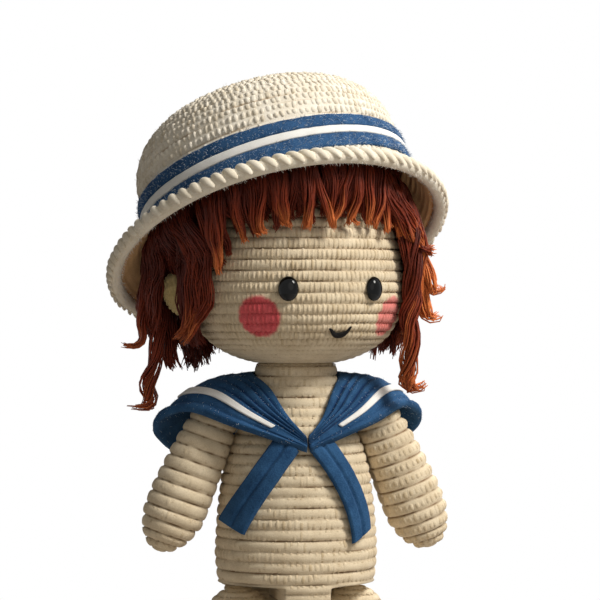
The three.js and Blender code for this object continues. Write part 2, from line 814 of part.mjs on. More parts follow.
function makeLimb(kind, name, form, position, side, lean) {
  const group = new THREE.Group();
  group.position.copy(position);
  group.rotation.y = -side * radians(lean);
  group.scale.x = side;
  mesh(`${kind}_${name}_shell`, limbShell(form, 14), yarnCream, group);
  mesh(`${kind}_${name}_stuffing`, limbStuffing(form), fibreWhite, group);
  mesh(`${kind}_${name}_joint_post`, solid(jointPost(limbDiscWidth, 0)), washerWhite, group);
  mesh(`${kind}_${name}_joint_washer`, solid(jointWasher(limbDiscWidth, 0)), washerWhite, group);
  return group;
}

function makeFace(group) {
  for (const [name, side] of sides) {
    const [spot, euler] = eyePlace(side);
    for (const [kind, shape, look] of [
      [`eye_${name}`, eyeDome(), eyeBlack],
      [`eye_washer_${name}`, solid(eyeWasher()), washerWhite],
    ]) {
      const node = mesh(kind, shape, look, group);
      node.position.copy(spot);
      node.rotation.copy(euler);
    }
    mesh(`ear_${name}`, ear(side), yarnCream, group);
  }
  const mouth = mesh("mouth", solid(mouthShape()), threadBlack, group);
  mouth.position.copy(onHead(mouthAngle, mouthLevel + mouthDrop / 2, 2 * gap));
  mouth.rotation.copy(new THREE.Euler(radians(90 - mouthSlope), 0, radians(mouthAngle), "ZYX"));
}

function makeHair(group) {
  mesh("hair_cap", hairCap(), hairYarn, group);
  mesh("hair_fringe", pressed(fringe()), hairYarn, group);
  const [right, left, back] = [rightLockShares, leftLockShares, backLockShares].map(locksFrom);
  const front = fringe(gap);
  mesh("hair_right", pressed(bundle(right).subtract(front)), hairYarn, group);
  mesh("hair_left", pressed(bundle(left).subtract(front)), hairYarn, group);
  const sideHair = bundle(right, gap).add(bundle(left, gap));
  mesh("hair_back", pressed(bundle(back).subtract(sideHair)), hairYarn, group);
}
const rightLockShares = [
  [-0.36, 1.1, -0.36, 1.12, 0.08, 1], [-0.41, 1.1, -0.44, 1.2, 0.42, 1.1],
  [-0.46, 1.1, -0.58, 1.28, 0.3, 1.1], [-0.52, 1.1, -0.6, 1.4, 0.12, 1.1],
  [-0.57, 1.1, -0.63, 1.42, -0.15, 1], [-0.63, 1.1, -0.67, 1.3, 0.02, 1.1],
];
const leftLockShares = [
  [0.36, 1.1, 0.37, 1.14, 0.45, 1], [0.41, 1.1, 0.42, 1.22, 0.32, 1.1],
  [0.46, 1.1, 0.5, 1.24, 0.22, 1.1], [0.52, 1.1, 0.56, 1.24, 0.02, 1.1],
  [0.57, 1.1, 0.6, 1.28, -0.08, 1], [0.63, 1.1, 0.67, 1.24, 0.04, 1.1],
];
const backLockShares = Array.from({ length: 9 }, (_, i) => {
  const angle = 0.72 + i * 0.07;
  return [angle, 1.1, angle, 1.22, i % 2 ? 0.02 : 0.06, 1.1];
});

function makeHat() {
  const group = new THREE.Group();
  group.position.copy(capCentre);
  group.rotation.copy(hatSpin);
  mesh("hat", hatBody(), hatCream, group);
  mesh("hat_brim_edging", solid(brimEdging(0)), hatCream, group);
  let foot = seatHeight + bandFoot;
  for (const [name, high, look] of [
    ["hat_band_lower", lowerBand, bandBlue],
    ["hat_band_white", whiteBand, tapeWhite],
    ["hat_band_upper", upperBand, bandBlue],
  ]) {
    mesh(name, hatBand(foot, foot + high), look, group);
    foot += high + gap;
  }
  return group;
}

function makeHead() {
  const group = new THREE.Group();
  group.position.set(0, 0, chinLevel);
  group.rotation.z = radians(headTurn);
  mesh("head_shell", headShell(), yarnCream, group);
  mesh("head_stuffing", headStuffing(), fibreWhite, group);
  const post = mesh("neck_joint_post", solid(jointPost(neckDiscWidth, 0)), washerWhite, group);
  const nut = mesh("neck_joint_washer", solid(jointWasher(neckDiscWidth, 0)), washerWhite, group);
  for (const node of [post, nut]) {
    node.position.copy(headFoot);
    node.rotation.copy(upright);
  }
  makeFace(group);
  makeHair(group);
  group.add(makeHat());
  return group;
}

const doll = new THREE.Group();
doll.add(makeTorso(), makeHead());
for (const [name, side] of sides) {
  doll.add(makeLimb("arm", name, armForm, shoulder(side), side, armLean));
  doll.add(makeLimb("leg", name, legForm, hip(side), side, 0));
}

// The doll's origin is on the floor, in the middle of the room that it takes up.
const room = new THREE.Box3().setFromObject(doll, true);
const middle = room.getCenter(new THREE.Vector3());
doll.position.set(-middle.x, -middle.y, -room.min.z);

export default doll;
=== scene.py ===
"""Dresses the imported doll: crocheted skins, yarn hair, a felt sailor collar and a crocheted sun hat."""

import json
import math

import bmesh
import bpy
import numpy as np
from mathutils import Matrix, Vector


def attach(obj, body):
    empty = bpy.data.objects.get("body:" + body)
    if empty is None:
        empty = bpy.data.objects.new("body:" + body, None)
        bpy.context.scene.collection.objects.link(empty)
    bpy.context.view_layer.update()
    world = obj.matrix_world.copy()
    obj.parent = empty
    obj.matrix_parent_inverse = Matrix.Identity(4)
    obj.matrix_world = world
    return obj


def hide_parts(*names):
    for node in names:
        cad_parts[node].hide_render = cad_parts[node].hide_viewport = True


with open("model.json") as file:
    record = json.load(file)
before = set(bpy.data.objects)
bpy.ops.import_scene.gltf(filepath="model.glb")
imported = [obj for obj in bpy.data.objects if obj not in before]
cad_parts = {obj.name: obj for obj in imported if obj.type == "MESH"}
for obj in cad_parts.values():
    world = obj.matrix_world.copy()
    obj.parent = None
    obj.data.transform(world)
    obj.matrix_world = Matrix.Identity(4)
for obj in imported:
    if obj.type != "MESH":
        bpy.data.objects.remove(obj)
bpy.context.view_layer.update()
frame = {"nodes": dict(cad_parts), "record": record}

# Sizes are in millimetres and angles in degrees. A share is of the size that it is taken from.
MM = 0.001
TURN = 2 * math.pi
GAP = 0.3

HEAD_HALF, HEAD_DEPTH_SHARE, HEAD_TURN = 40, 77 / 80, 10.5
HEAD_HEIGHT, CHEEK_LEVEL, CHIN_FLAT = 80, 30, 1
LOWER_POWER, UPPER_POWER = 2.5, 2.2
EYE_ROW_LEVEL, HAIRLINE = 26.6, 66
ROUGE_LEVEL, ROUGE_RADIUS, ROUGE_BLUR = 17.8, 7.9, 0.8
# Each cheek's angle and how much rouge it takes: the cheek on the lit side takes less and looks paler, partly a real
# difference and partly painted sheen.
ROUGES = ((-40.6, 0.97), (43, 0.75))
EYE_ANGLES = {"left": 23.5, "right": -24}
EYE_LEVEL, EYE_OUT, EYE_WIDE, EYE_HIGH = 28.0, 2.6, 3.7, 4.45
MOUTH_ANGLE, MOUTH_LEVEL, MOUTH_TILT, MOUTH_OUT = 5.8, 13.9, 4, 0.55
MOUTH_HALF, MOUTH_DEPTH, MOUTH_STRAND = 4.0, 3.3, 0.44
EAR_OUT, EAR_THICK, EAR_HIGH = 6.6, 4.4, 8.2
EAR_REACH, EAR_LEVEL, EAR_TURN, EAR_LEAN, EAR_CUP = 42.6, 26, 13, 0.22, 0.45

ROW, ARM_ROW, HAT_ROW = 4.0, 4.8, 3.1
LEG_LENGTH, LEG_HALF, LEG_SWELL, LEG_BACK_SWING = 66, 12.5, 1.2, 20
HIP_DROP, HIP_HALF, HIP_PLANE = 10, 30, 8.4
TORSO_HEIGHT, TORSO_DEPTH_SHARE = 104.7, 0.9
ARM_LENGTH, ARM_HALF, ARM_TOP_HALF = 62, 12, 9
ARM_LEAN, ARM_SPREAD, ARM_SLIM = 20, 3.5, 0.4
BARE_AT_BODY = 1.6

CAP_RADIUS, CAP_TRIM = 54.5, 14
CAP_CENTRE = Vector((0, 2, 38))
HAT_LEAN_BACK, HAT_LEAN_SIDE = 23, 7
CROWN_INNER, HAT_WALL = 48.2, 2.4
CROWN_WALL, CROWN_TAPER, CROWN_ROUND, CROWN_DOME = 13, 5, 22, 1.2
FOOT_DROP, CROWN_LEAN, CROWN_LEAN_HEIGHT = 4.6, 2.4, 18
BRIM_DROP, BRIM_HALF, BRIM_BEND, EDGING = 15.5, 65.25, 1.25, 4.7
BRIM_TILT_BACK, BRIM_TILT_SIDE, BRIM_SHIFT = 5.5, 2.5, (-3.5, 1.3)
RIM_DROP, RIM_OUT = 1.3, 1.1
WHIPS, WHIP_TILT, WHIP_SLANT = 86, 63, 40
BANDS = (("lower", 5.2), ("white", 2.9), ("upper", 4.4))
BAND_THICK, BAND_ROOM = 1.0, 13.5

NECK_HALF, FELT = 15, 2.4
V_LEVEL, NECK_LEVEL, TIP_REACH, TIP_LEVEL, COLLAR_ARCH = 132.5, 157.5, 50, 141.7, 6.4
HEM_LIFT_LEFT, HEM_OUT_RIGHT, HEM_IN_LEFT = 1.1, 0.02, 0.035
TAPE_START, TAPE_WIDE, TAPE_THICK = 0.665, 0.09, 0.9
TIE_WIDTH, TIE_DROP, TIE_SPREAD, TIE_THICK, TIE_ROOT, TIE_RISE = 8, 29, 21, 2, 0.55, 1.7

# Places: the doll stands on its own axis, the head turns on it and the hat leans on the head.
JOINTS = {joint["name"]: joint for joint in frame["record"]["behaviour"]["joints"]}
AXIS = Vector(JOINTS["head_turn"]["pos_m"]) / MM
DOLL = Matrix.Translation((AXIS.x, AXIS.y, 0))
HEAD = DOLL @ Matrix.Translation((0, 0, AXIS.z)) @ Matrix.Rotation(math.radians(HEAD_TURN), 4, "Z")
HAT_LEAN = (
    Matrix.Rotation(math.radians(-HAT_LEAN_BACK), 4, "X") @ Matrix.Rotation(math.radians(-HAT_LEAN_SIDE), 4, "Y")
)
HAT = HEAD @ Matrix.Translation(CAP_CENTRE) @ HAT_LEAN
SEAT = math.sqrt(CAP_RADIUS**2 - (CROWN_INNER - 2 * GAP) ** 2)
CROWN_OUTER = CROWN_INNER + HAT_WALL
BRIM_EDGE = BRIM_HALF - EDGING
FOOT = SEAT - FOOT_DROP
SIDES = (("left", 1), ("right", -1))


def slope(angle):
    return math.tan(math.radians(angle))


# Meshes.
def finished(obj, matrix, body, replaced=()):
    """Puts a piece made in millimetres in its place, hangs it on the body that it rides on and hides the parts that
    it replaces.
    """
    obj.data.transform(Matrix.Scale(MM, 4) @ matrix)
    if matrix.determinant() < 0:
        obj.data.flip_normals()
    obj.data.shade_smooth()
    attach(obj, body)
    if replaced:
        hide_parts(*replaced)
    return obj


def piece(name, points, faces, material, **attributes):
    mesh = bpy.data.meshes.new(name)
    mesh.from_pydata(np.asarray(points).tolist(), [], faces)
    for key, values in attributes.items():
        values = np.asarray(values, dtype=np.float32)
        kind = "FLOAT_VECTOR" if values.ndim == 2 else "FLOAT"
        layer = mesh.attributes.new(key, kind, "POINT")
        layer.data.foreach_set("vector" if values.ndim == 2 else "value", values.ravel())
    mesh.materials.append(material)
    mesh.validate()
    obj = bpy.data.objects.new(name, mesh)
    bpy.context.scene.collection.objects.link(obj)
    return obj


def closed_grid(grid):
    """Vertices and faces of rings of points that begin and end in a pole."""
    rings, around = grid.shape[:2]
    points = np.concatenate([grid[:1, 0], grid[1:-1].reshape(-1, 3), grid[-1:, 0]])
    ids = 1 + np.arange((rings - 2) * around).reshape(rings - 2, around)
    beside = np.roll(ids, -1, axis=1)
    quads = np.stack([ids[:-1], beside[:-1], beside[1:], ids[1:]], axis=-1).reshape(-1, 4)
    last = len(points) - 1
    first_fan = [(0, int(b), int(a)) for a, b in zip(ids[0], beside[0])]
    last_fan = [(last, int(a), int(b)) for a, b in zip(ids[-1], beside[-1])]
    return points, quads.tolist() + first_fan + last_fan


def ringed(values):
    """One value for each vertex of closed_grid, from one for each point of the grid."""
    return np.concatenate([values[:1, 0], values[1:-1].ravel(), values[-1:, 0]])


def ring_quads(count, sides):
    """Faces of rings of points that follow one another round and close."""
    ids = np.arange(count * sides).reshape(count, sides)
    after = np.roll(ids, -1, axis=0)
    quads = np.stack([ids, np.roll(ids, -1, axis=1), np.roll(after, -1, axis=1), after], axis=-1)
    return quads.reshape(-1, 4)[:, ::-1].tolist()


def on_ring(out, turn, height):
    """Points at a distance, a turn from the face and a height."""
    return np.stack([out * np.sin(turn), -out * np.cos(turn), height + 0 * out * turn], axis=-1)


def vertices(part):
    points = np.empty(len(part.data.vertices) * 3)
    part.data.vertices.foreach_get("co", points)
    return points.reshape(-1, 3)


def move_vertices(part, points):
    part.data.vertices.foreach_set("co", points.ravel())
    part.data.update()


def recalculated(part):
    """Turns all faces of a closed mesh outwards."""
    work = bmesh.new()
    work.from_mesh(part.data)
    bmesh.ops.recalc_face_normals(work, faces=work.faces)
    work.to_mesh(part.data)
    work.free()
    return part


def chord_lengths(points):
    """How far along a line of points each one lies."""
    return np.concatenate([[0], np.cumsum(np.linalg.norm(np.diff(points, axis=0), axis=1))])


def sampled(points, length, spots):
    """Points at given spots along a line of points, whose own spots are given as its length."""
    return np.stack([np.interp(spots, length, column) for column in points.T], axis=-1)


def unit(vectors):
    return vectors / np.maximum(np.linalg.norm(vectors, axis=-1, keepdims=True), 1e-9)


def even(table, step, soften=0.0):
    """A table of points taken at even steps along itself, with its corners rounded."""
    table = np.asarray(table, dtype=float)
    length = chord_lengths(table)
    if soften:
        fine = 0.2
        dense = sampled(table, length, np.linspace(0, length[-1], max(int(length[-1] / fine), 8)))
        reach = max(int(soften / fine), 1)
        kernel = np.hanning(2 * reach + 3)[1:-1]
        before, after = 2 * dense[:1] - dense[reach:0:-1], 2 * dense[-1:] - dense[-2 : -reach - 2 : -1]
        padded = np.concatenate([before, dense, after])
        smooth = [np.convolve(column, kernel / kernel.sum(), "valid") for column in padded.T]
        table = np.stack(smooth, axis=1)
        table[0], table[-1] = dense[0], dense[-1]
        length = chord_lengths(table)
    spots = np.linspace(0, length[-1], max(round(length[-1] / step), 3) + 1)
    return sampled(table, length, spots), spots


def waves(angle, along, seed, count=5, reach=9, scale=0.35):
    """A smooth even-tempered ripple in -1..1, which closes round the form."""
    rng = np.random.default_rng(seed)
    total = 0
    for _ in range(count):
        turns, pace, shift = rng.integers(2, reach), rng.uniform(0.3, 1) * scale, rng.uniform(0, TURN)
        total = total + np.sin(turns * angle + pace * along * rng.choice([-1, 1]) + shift)
    return total / count


class Rounds:
    """A form worked in rounds: rings of centre x, y, height, half width and half depth, from pole to pole."""

    def __init__(self, table, around, row=ROW, step=0.5, soften=1.0, start=None):
        self.rings, self.spots = even(table, step, soften)
        self.around = around
        self.angle = np.arange(around) / around * TURN
        x, y, z, wide, deep = (column[:, None] for column in self.rings.T)
        points = [x + wide * np.sin(self.angle), y - deep * np.cos(self.angle), z + 0 * self.angle]
        self.base = np.stack(points, axis=-1)
        across = np.roll(self.base, -1, axis=1) - np.roll(self.base, 1, axis=1)
        along = np.gradient(self.base, axis=0)
        self.normal = unit(np.cross(across, along))
        for end, near in ((0, 1), (-1, -2)):
            self.normal[end] = unit(self.normal[near].mean(axis=0))
        count = max(round(self.spots[-1] / row), 1)
        self.row = self.spots[-1] / count if start is None else row
        self.start = 0 if start is None else np.interp(start[1], *self.lift(start[0]))

    def lift(self, column):
        """A column of the rings, with the spots that it belongs to, for looking a spot up."""
        return self.rings[:, column], self.spots

    def rows(self, spots):
        return (spots - self.start) / self.row

    def ridged(self, rise=0.35, fall=1.1, seed=1, quiet=1.0, wander=0.07):
        """The grid with a round ridge for each row and a groove between rows, and the groove's depth, which paints
        shade into the groove.
        """
        spots, angle = self.spots[:, None], self.angle[None, :]
        phase = self.rows(spots) + wander * waves(angle, spots, seed)
        across = 2 * (phase % 1) - 1
        ridge = np.sqrt(np.clip(1 - np.abs(across) ** 2.4, 0, 1))
        lumps = 0.12 * waves(angle, spots, seed + 1, count=8, reach=40, scale=2.0)
        height = quiet * (rise - (rise + fall) * (1 - ridge)) + (1 - quiet) * 0.1 + lumps
        groove = (1 - ridge) * quiet + 0 * angle
        return self.base + self.normal * height[..., None], groove

    def at(self, spots, angles):
        """Points, normals and directions round the form, at spots along it and angles round it."""
        row = np.interp(spots, self.spots, np.arange(len(self.spots)))
        column = (angles / TURN * self.around) % self.around
        low_row, low_column = np.floor(row).astype(int), np.floor(column).astype(int)
        low_row = np.minimum(low_row, len(self.spots) - 2)
        part_row, part_column = (row - low_row)[:, None], (column - low_column)[:, None]
        next_column = (low_column + 1) % self.around
        low_column %= self.around

        def mixed(grid):
            low = grid[low_row, low_column] * (1 - part_column) + grid[low_row, next_column] * part_column
            high = grid[low_row + 1, low_column] * (1 - part_column)
            high = high + grid[low_row + 1, next_column] * part_column
            return low * (1 - part_row) + high * part_row

        across = np.roll(self.base, -1, axis=1) - np.roll(self.base, 1, axis=1)
        return mixed(self.base), unit(mixed(self.normal)), unit(mixed(across))

    def stitches(self, pitch, seed, low=0, high=None, lift=0.0):
        """Where each stitch of each row sits: its point, turn, row and angle."""
        rng = np.random.default_rng(seed)
        high = self.spots[-1] if high is None else high
        spots, angles, rows = [], [], []
        for row in range(math.ceil(self.rows(low)), math.ceil(self.rows(high)) + 1):
            spot = self.start + (row + 0.5) * self.row
            if not low <= spot <= high - self.row / 4:
                continue
            wide = np.interp(spot, self.spots, (self.rings[:, 3] + self.rings[:, 4]) / 2)
            count = round(TURN * wide / pitch)
            if count < 6:
                continue
            turn = (np.arange(count) + rng.uniform() + rng.normal(0, 0.07, count)) / count * TURN
            angles.append(turn)
            spots.append(np.full(count, spot) + rng.normal(0, 0.09, count))
            rows.append(np.full(count, row))
        spots, angles, rows = (np.concatenate(part) for part in (spots, angles, rows))
        points, normals, across = self.at(spots, angles)
        return points + normals * lift, turns(across, normals), rows, angles


def turns(across, normals):
    """Euler angles that lay X round the form, -Y outwards and Z along it."""
    along = unit(np.cross(normals, across))
    across = unit(np.cross(-normals, along))
    pitch = -np.arcsin(np.clip(across[:, 2], -1, 1))
    roll = np.arctan2(-normals[:, 2], along[:, 2])
    yaw = np.arctan2(across[:, 1], across[:, 0])
    return np.stack([roll, pitch, yaw], axis=1)


def carried(tangents):
    """Two directions across each of many paths, carried along it without twisting."""
    normals = np.empty_like(tangents)
    normals[:, 0] = unit(np.cross(tangents[:, 0], [0.31, 0.87, 0.12]))
    for i in range(1, tangents.shape[1]):
        kept = normals[:, i - 1]
        kept = kept - tangents[:, i] * (kept * tangents[:, i]).sum(axis=1, keepdims=True)
        normals[:, i] = unit(kept)
    return normals, np.cross(tangents, normals)


def tubes(paths, radii, sides):
    """Closed tapering tubes along many paths of the same number of points."""
    count, steps = paths.shape[:2]
    normals, binormals = carried(unit(np.gradient(paths, axis=1)))
    turn = np.arange(sides) / sides * TURN
    ring = normals[:, :, None] * np.cos(turn)[:, None] + binormals[:, :, None] * np.sin(turn)[:, None]
    points = (paths[:, :, None] + ring * radii[:, :, None, None]).reshape(count, -1, 3)
    points = np.concatenate([points, paths[:, :1], paths[:, -1:]], axis=1)
    each = steps * sides + 2
    a = np.arange(steps - 1)[:, None] * sides + np.arange(sides)
    b = np.arange(steps - 1)[:, None] * sides + (np.arange(sides) + 1) % sides
    quads = np.stack([a, b, b + sides, a + sides], axis=-1).reshape(-1, 4)
    spin = np.arange(sides)
    after = (spin + 1) % sides
    last = (steps - 1) * sides
    start_fan = np.stack([np.full(sides, each - 2), after, spin], axis=1)
    end_fan = np.stack([np.full(sides, each - 1), last + spin, last + after], axis=1)
    shift = np.arange(count)[:, None, None] * each
    faces = (quads + shift).reshape(-1, 4).tolist()
    faces += (start_fan + shift).reshape(-1, 3).tolist() + (end_fan + shift).reshape(-1, 3).tolist()
    return points.reshape(-1, 3), faces, each


# Node trees.
def node(tree, kind, sockets=None, **settings):
    made = tree.nodes.new(kind)
    for key, value in settings.items():
        setattr(made, key, value)
    for key, value in (sockets or {}).items():
        if isinstance(value, bpy.types.NodeSocket):
            tree.links.new(value, made.inputs[key])
        else:
            made.inputs[key].default_value = value
    return made


def tree_with(name, kind, inputs, outputs):
    tree = bpy.data.node_groups.new(name, kind)
    for label, socket_kind, value in inputs:
        socket = tree.interface.new_socket(label, in_out="INPUT", socket_type=socket_kind)
        if value is not None:
            socket.default_value = value
    for label, socket_kind in outputs:
        tree.interface.new_socket(label, in_out="OUTPUT", socket_type=socket_kind)
    return tree, tree.nodes.new("NodeGroupInput").outputs, tree.nodes.new("NodeGroupOutput").inputs


def grown(source, tree, name, values):
    """The plain mesh that a node tree makes from an object, with the tree's inputs set by name."""
    grower = source.modifiers.new("grow", "NODES")
    grower.node_group = tree
    keys = {item.name: item.identifier for item in tree.interface.items_tree if item.in_out == "INPUT"}
    for label, value in values.items():
        grower[keys[label]] = value
    evaluated = source.evaluated_get(bpy.context.evaluated_depsgraph_get())
    mesh = bpy.data.meshes.new_from_object(evaluated)
    mesh.name = name
    obj = bpy.data.objects.new(name, mesh)
    bpy.context.scene.collection.objects.link(obj)
    source.modifiers.remove(grower)
    return obj


def combined(tree, operation, first, second):
    """The socket of a sum, product or other operation of two values."""
    return node(tree, "ShaderNodeMath", {0: first, 1: second}, operation=operation).outputs[0]


def floats(**values):
    """Inputs of a tree that are plain numbers, with the values that they start from."""
    return [(label, "NodeSocketFloat", value) for label, value in values.items()]


def copied(tree, given, result, points, shape, turn, scale):
    """Ends a tree with copies of a shape on points, made real and painted."""
    sockets = {"Points": points, "Instance": shape, "Rotation": turn, "Scale": scale}
    copies = node(tree, "GeometryNodeInstanceOnPoints", sockets)
    real = node(tree, "GeometryNodeRealizeInstances", {0: copies.outputs[0]})
    painted = node(tree, "GeometryNodeSetMaterial", {"Geometry": real.outputs[0], "Material": given["Material"]})
    tree.links.new(painted.outputs[0], result["Geometry"])
    return tree


def stitch_tree():
    """A plump stitch on each point, turned and sized by the point's own values, its ends bent in."""
    tree, given, result = tree_with(
        "plump_stitches",
        "GeometryNodeTree",
        [
            ("Geometry", "NodeSocketGeometry", None),
            *floats(Width=1.7, Length=3.8, Thickness=1.1, Bend=0.2),
            ("Material", "NodeSocketMaterial", None),
        ],
        [("Geometry", "NodeSocketGeometry")],
    )
    ball = node(tree, "GeometryNodeMeshUVSphere", {"Segments": 6, "Rings": 5, "Radius": 0.52})
    size = node(tree, "ShaderNodeCombineXYZ", {"X": given["Width"], "Y": given["Thickness"], "Z": given["Length"]})
    plump = node(tree, "GeometryNodeTransform", {"Geometry": ball.outputs["Mesh"], "Scale": size.outputs[0]})
    place = node(tree, "GeometryNodeInputPosition")
    height = node(tree, "ShaderNodeSeparateXYZ", {0: place.outputs[0]}).outputs["Z"]
    inward = combined(tree, "MULTIPLY", combined(tree, "MULTIPLY", height, height), given["Bend"])
    offset = node(tree, "ShaderNodeCombineXYZ", {"Y": inward})
    bent = node(tree, "GeometryNodeSetPosition", {"Geometry": plump.outputs[0], "Offset": offset.outputs[0]})
    turn, scale = (
        node(tree, "GeometryNodeInputNamedAttribute", {"Name": name}, data_type="FLOAT_VECTOR").outputs[0]
        for name in ("turn", "size")
    )
    return copied(tree, given, result, given["Geometry"], bent.outputs[0], turn, scale)


def fuzz_tree():
    """Loose fibres scattered over a surface, each a bent copy of one fibre."""
    tree, given, result = tree_with(
        "loose_fibres",
        "GeometryNodeTree",
        [
            ("Geometry", "NodeSocketGeometry", None),
            ("Fibre", "NodeSocketObject", None),
            *floats(Density=0.5, Lean=0.8, Shortest=0.5, Longest=1.2),
            ("Seed", "NodeSocketInt", 1),
            ("Material", "NodeSocketMaterial", None),
        ],
        [("Geometry", "NodeSocketGeometry")],
    )
    spread = node(
        tree,
        "GeometryNodeDistributePointsOnFaces",
        {"Mesh": given["Geometry"], "Density": given["Density"], "Seed": given["Seed"]},
    )
    stray = node(tree, "FunctionNodeRandomValue", {"Min": (-1, -1, -1), "Max": (1, 1, 1)}, data_type="FLOAT_VECTOR")
    tree.links.new(given["Seed"], stray.inputs["Seed"])
    leaning = node(tree, "ShaderNodeVectorMath", {0: stray.outputs[0], "Scale": given["Lean"]}, operation="SCALE")
    way = node(tree, "ShaderNodeVectorMath", {0: leaning.outputs[0], 1: spread.outputs["Normal"]}, operation="ADD")
    turn = node(tree, "FunctionNodeAlignRotationToVector", {"Vector": way.outputs[0]}, axis="Z")
    size = node(tree, "FunctionNodeRandomValue", {}, data_type="FLOAT")
    shortest, longest = [socket for socket in size.inputs if socket.type == "VALUE" and socket.enabled][:2]
    tree.links.new(given["Shortest"], shortest)
    tree.links.new(given["Longest"], longest)
    tree.links.new(given["Seed"], size.inputs["Seed"])
    length = [socket for socket in size.outputs if socket.type == "VALUE" and socket.enabled][0]
    strand = node(tree, "GeometryNodeObjectInfo", {"Object": given["Fibre"]}).outputs["Geometry"]
    return copied(tree, given, result, spread.outputs["Points"], strand, turn.outputs[0], length)


STITCHES = stitch_tree()
FIBRES = fuzz_tree()


# Materials.
def grain_group():
    """Fine fibres and soft patches: a shade from 0 to 1 and a height."""
    tree, given, result = tree_with(
        "yarn_grain",
        "ShaderNodeTree",
        [*floats(Fibres=2600.0, Patches=160.0), ("Stretch", "NodeSocketVector", (1, 1, 1))],
        [("Shade", "NodeSocketFloat"), ("Height", "NodeSocketFloat"), ("Patch", "NodeSocketFloat")],
    )
    place = node(tree, "ShaderNodeTexCoord").outputs["Object"]
    drawn = node(tree, "ShaderNodeVectorMath", {0: place, 1: given["Stretch"]}, operation="MULTIPLY").outputs[0]
    fibres = node(tree, "ShaderNodeTexNoise", {"Vector": drawn, "Scale": given["Fibres"], "Detail": 3.0})
    patches = node(tree, "ShaderNodeTexNoise", {"Vector": place, "Scale": given["Patches"], "Detail": 4.0})
    half = combined(tree, "MULTIPLY", combined(tree, "ADD", fibres.outputs[0], patches.outputs[0]), 0.5)
    tree.links.new(half, result["Shade"])
    tree.links.new(fibres.outputs[0], result["Height"])
    tree.links.new(patches.outputs[0], result["Patch"])
    return tree


GRAIN = grain_group()
BUMP_HEIGHT = 0.3 * MM
GRAIN_SHADES = 0.34, 0.62
# A darker tone that each stitch and thread takes at random, which on the combed cap is painted shade in its grooves.
DARKER_TONE_AND_SHADE = (0.72, 0.66, 0.56)


def blended(tree, share, low, high, mode="MIX"):
    """A colour between two, by a share that is a number or a socket."""
    mix = tree.nodes.new("ShaderNodeMix")
    mix.data_type, mix.blend_type = "RGBA", mode
    sockets = [mix.inputs["Factor"]] + [s for s in mix.inputs if s.type == "RGBA"]
    for socket, value in zip(sockets, (share, low, high)):
        if isinstance(value, bpy.types.NodeSocket):
            tree.links.new(value, socket)
        else:
            socket.default_value = value if socket.type == "VALUE" else (*value, 1)
    return [s for s in mix.outputs if s.type == "RGBA"][0]


def ranged(tree, value, low, high, to_low=0.0, to_high=1.0):
    """A value carried from one range to another and kept within it."""
    sockets = {"Value": value, "From Min": low, "From Max": high, "To Min": to_low, "To Max": to_high}
    return node(tree, "ShaderNodeMapRange", sockets).outputs[0]


def own(tree, name):
    """A value that the mesh itself holds for each of its points."""
    return node(tree, "ShaderNodeAttribute", attribute_name=name).outputs["Fac"]


def yarn(
    name, light, dark, groove=None, rouge=None, shade_to_light=None, bump=0.5, sheen=0.25, stretch=(1, 1, 1),
    tint=True, rough=0.92, shine=0.2,
):
    """A matt fibre finish whose tone follows the grain, each stitch's own tone and any rouge, with painted shade in
    grooves, under the hat and at hair roots, and painted light at hair ends.
    """
    material = bpy.data.materials.new(name)
    material.use_nodes = True
    tree = material.node_tree
    shader = tree.nodes["Principled BSDF"]
    grain = node(tree, "ShaderNodeGroup", {}, node_tree=GRAIN)
    grain.inputs["Stretch"].default_value = stretch
    shade = ranged(tree, grain.outputs["Shade"], *GRAIN_SHADES)
    colour = blended(tree, shade, dark, light)
    # Painted shade and light along the hair: dark shaded roots, the yarn's own auburn, then lit orange ends, by the
    # tip share.
    if shade_to_light is not None:
        far = own(tree, "tip")
        colour = blended(tree, ranged(tree, far, 0.0, 0.55), blended(tree, shade, shade_to_light[1], shade_to_light[0]), colour)
        colour = blended(tree, ranged(tree, far, 0.55, 1.0), colour, blended(tree, shade, shade_to_light[3], shade_to_light[2]))
    # Rouge on the cheeks; on the hat the same mask paints the underside a warm tan, as painted shade and warm bounce
    # light.
    if rouge is not None:
        colour = blended(tree, own(tree, "rouge"), colour, blended(tree, shade, rouge[1], rouge[0]))
    # Painted shade: the colour is darkened by the groove colour where the rows sink and the cloth creases.
    if groove is not None:
        depth = ranged(tree, own(tree, "groove"), 0.35, 0.95)
        colour = blended(tree, depth, colour, blended(tree, 1.0, colour, groove, "MULTIPLY"))
    # Darker by the tint share: a random tone for each stitch and thread, and painted shade in the cap's combed
    # grooves.
    if tint:
        colour = blended(tree, own(tree, "tint"), colour, blended(tree, 1.0, colour, DARKER_TONE_AND_SHADE, "MULTIPLY"))
    tree.links.new(colour, shader.inputs["Base Color"])
    bumped = node(
        tree, "ShaderNodeBump", {"Strength": bump, "Distance": BUMP_HEIGHT, "Height": grain.outputs["Height"]}
    )
    tree.links.new(bumped.outputs[0], shader.inputs["Normal"])
    shader.inputs["Roughness"].default_value = rough
    shader.inputs["Specular IOR Level"].default_value = shine
    shader.inputs["Sheen Weight"].default_value = sheen
    shader.inputs["Sheen Roughness"].default_value = 0.6
    return material


def moulded(name, colour, roughness):
    """A moulded plastic with patches that are a little duller and rougher."""
    material = bpy.data.materials.new(name)
    material.use_nodes = True
    tree = material.node_tree
    shader = tree.nodes["Principled BSDF"]
    grain = node(tree, "ShaderNodeGroup", {"Fibres": 900.0}, node_tree=GRAIN)
    dull = tuple(0.9 * part for part in colour)
    tree.links.new(blended(tree, grain.outputs["Patch"], dull, colour), shader.inputs["Base Color"])
    worn = ranged(tree, grain.outputs["Patch"], 0.2, 0.8, roughness * 0.8, roughness * 1.2)
    tree.links.new(worn, shader.inputs["Roughness"])
    return material
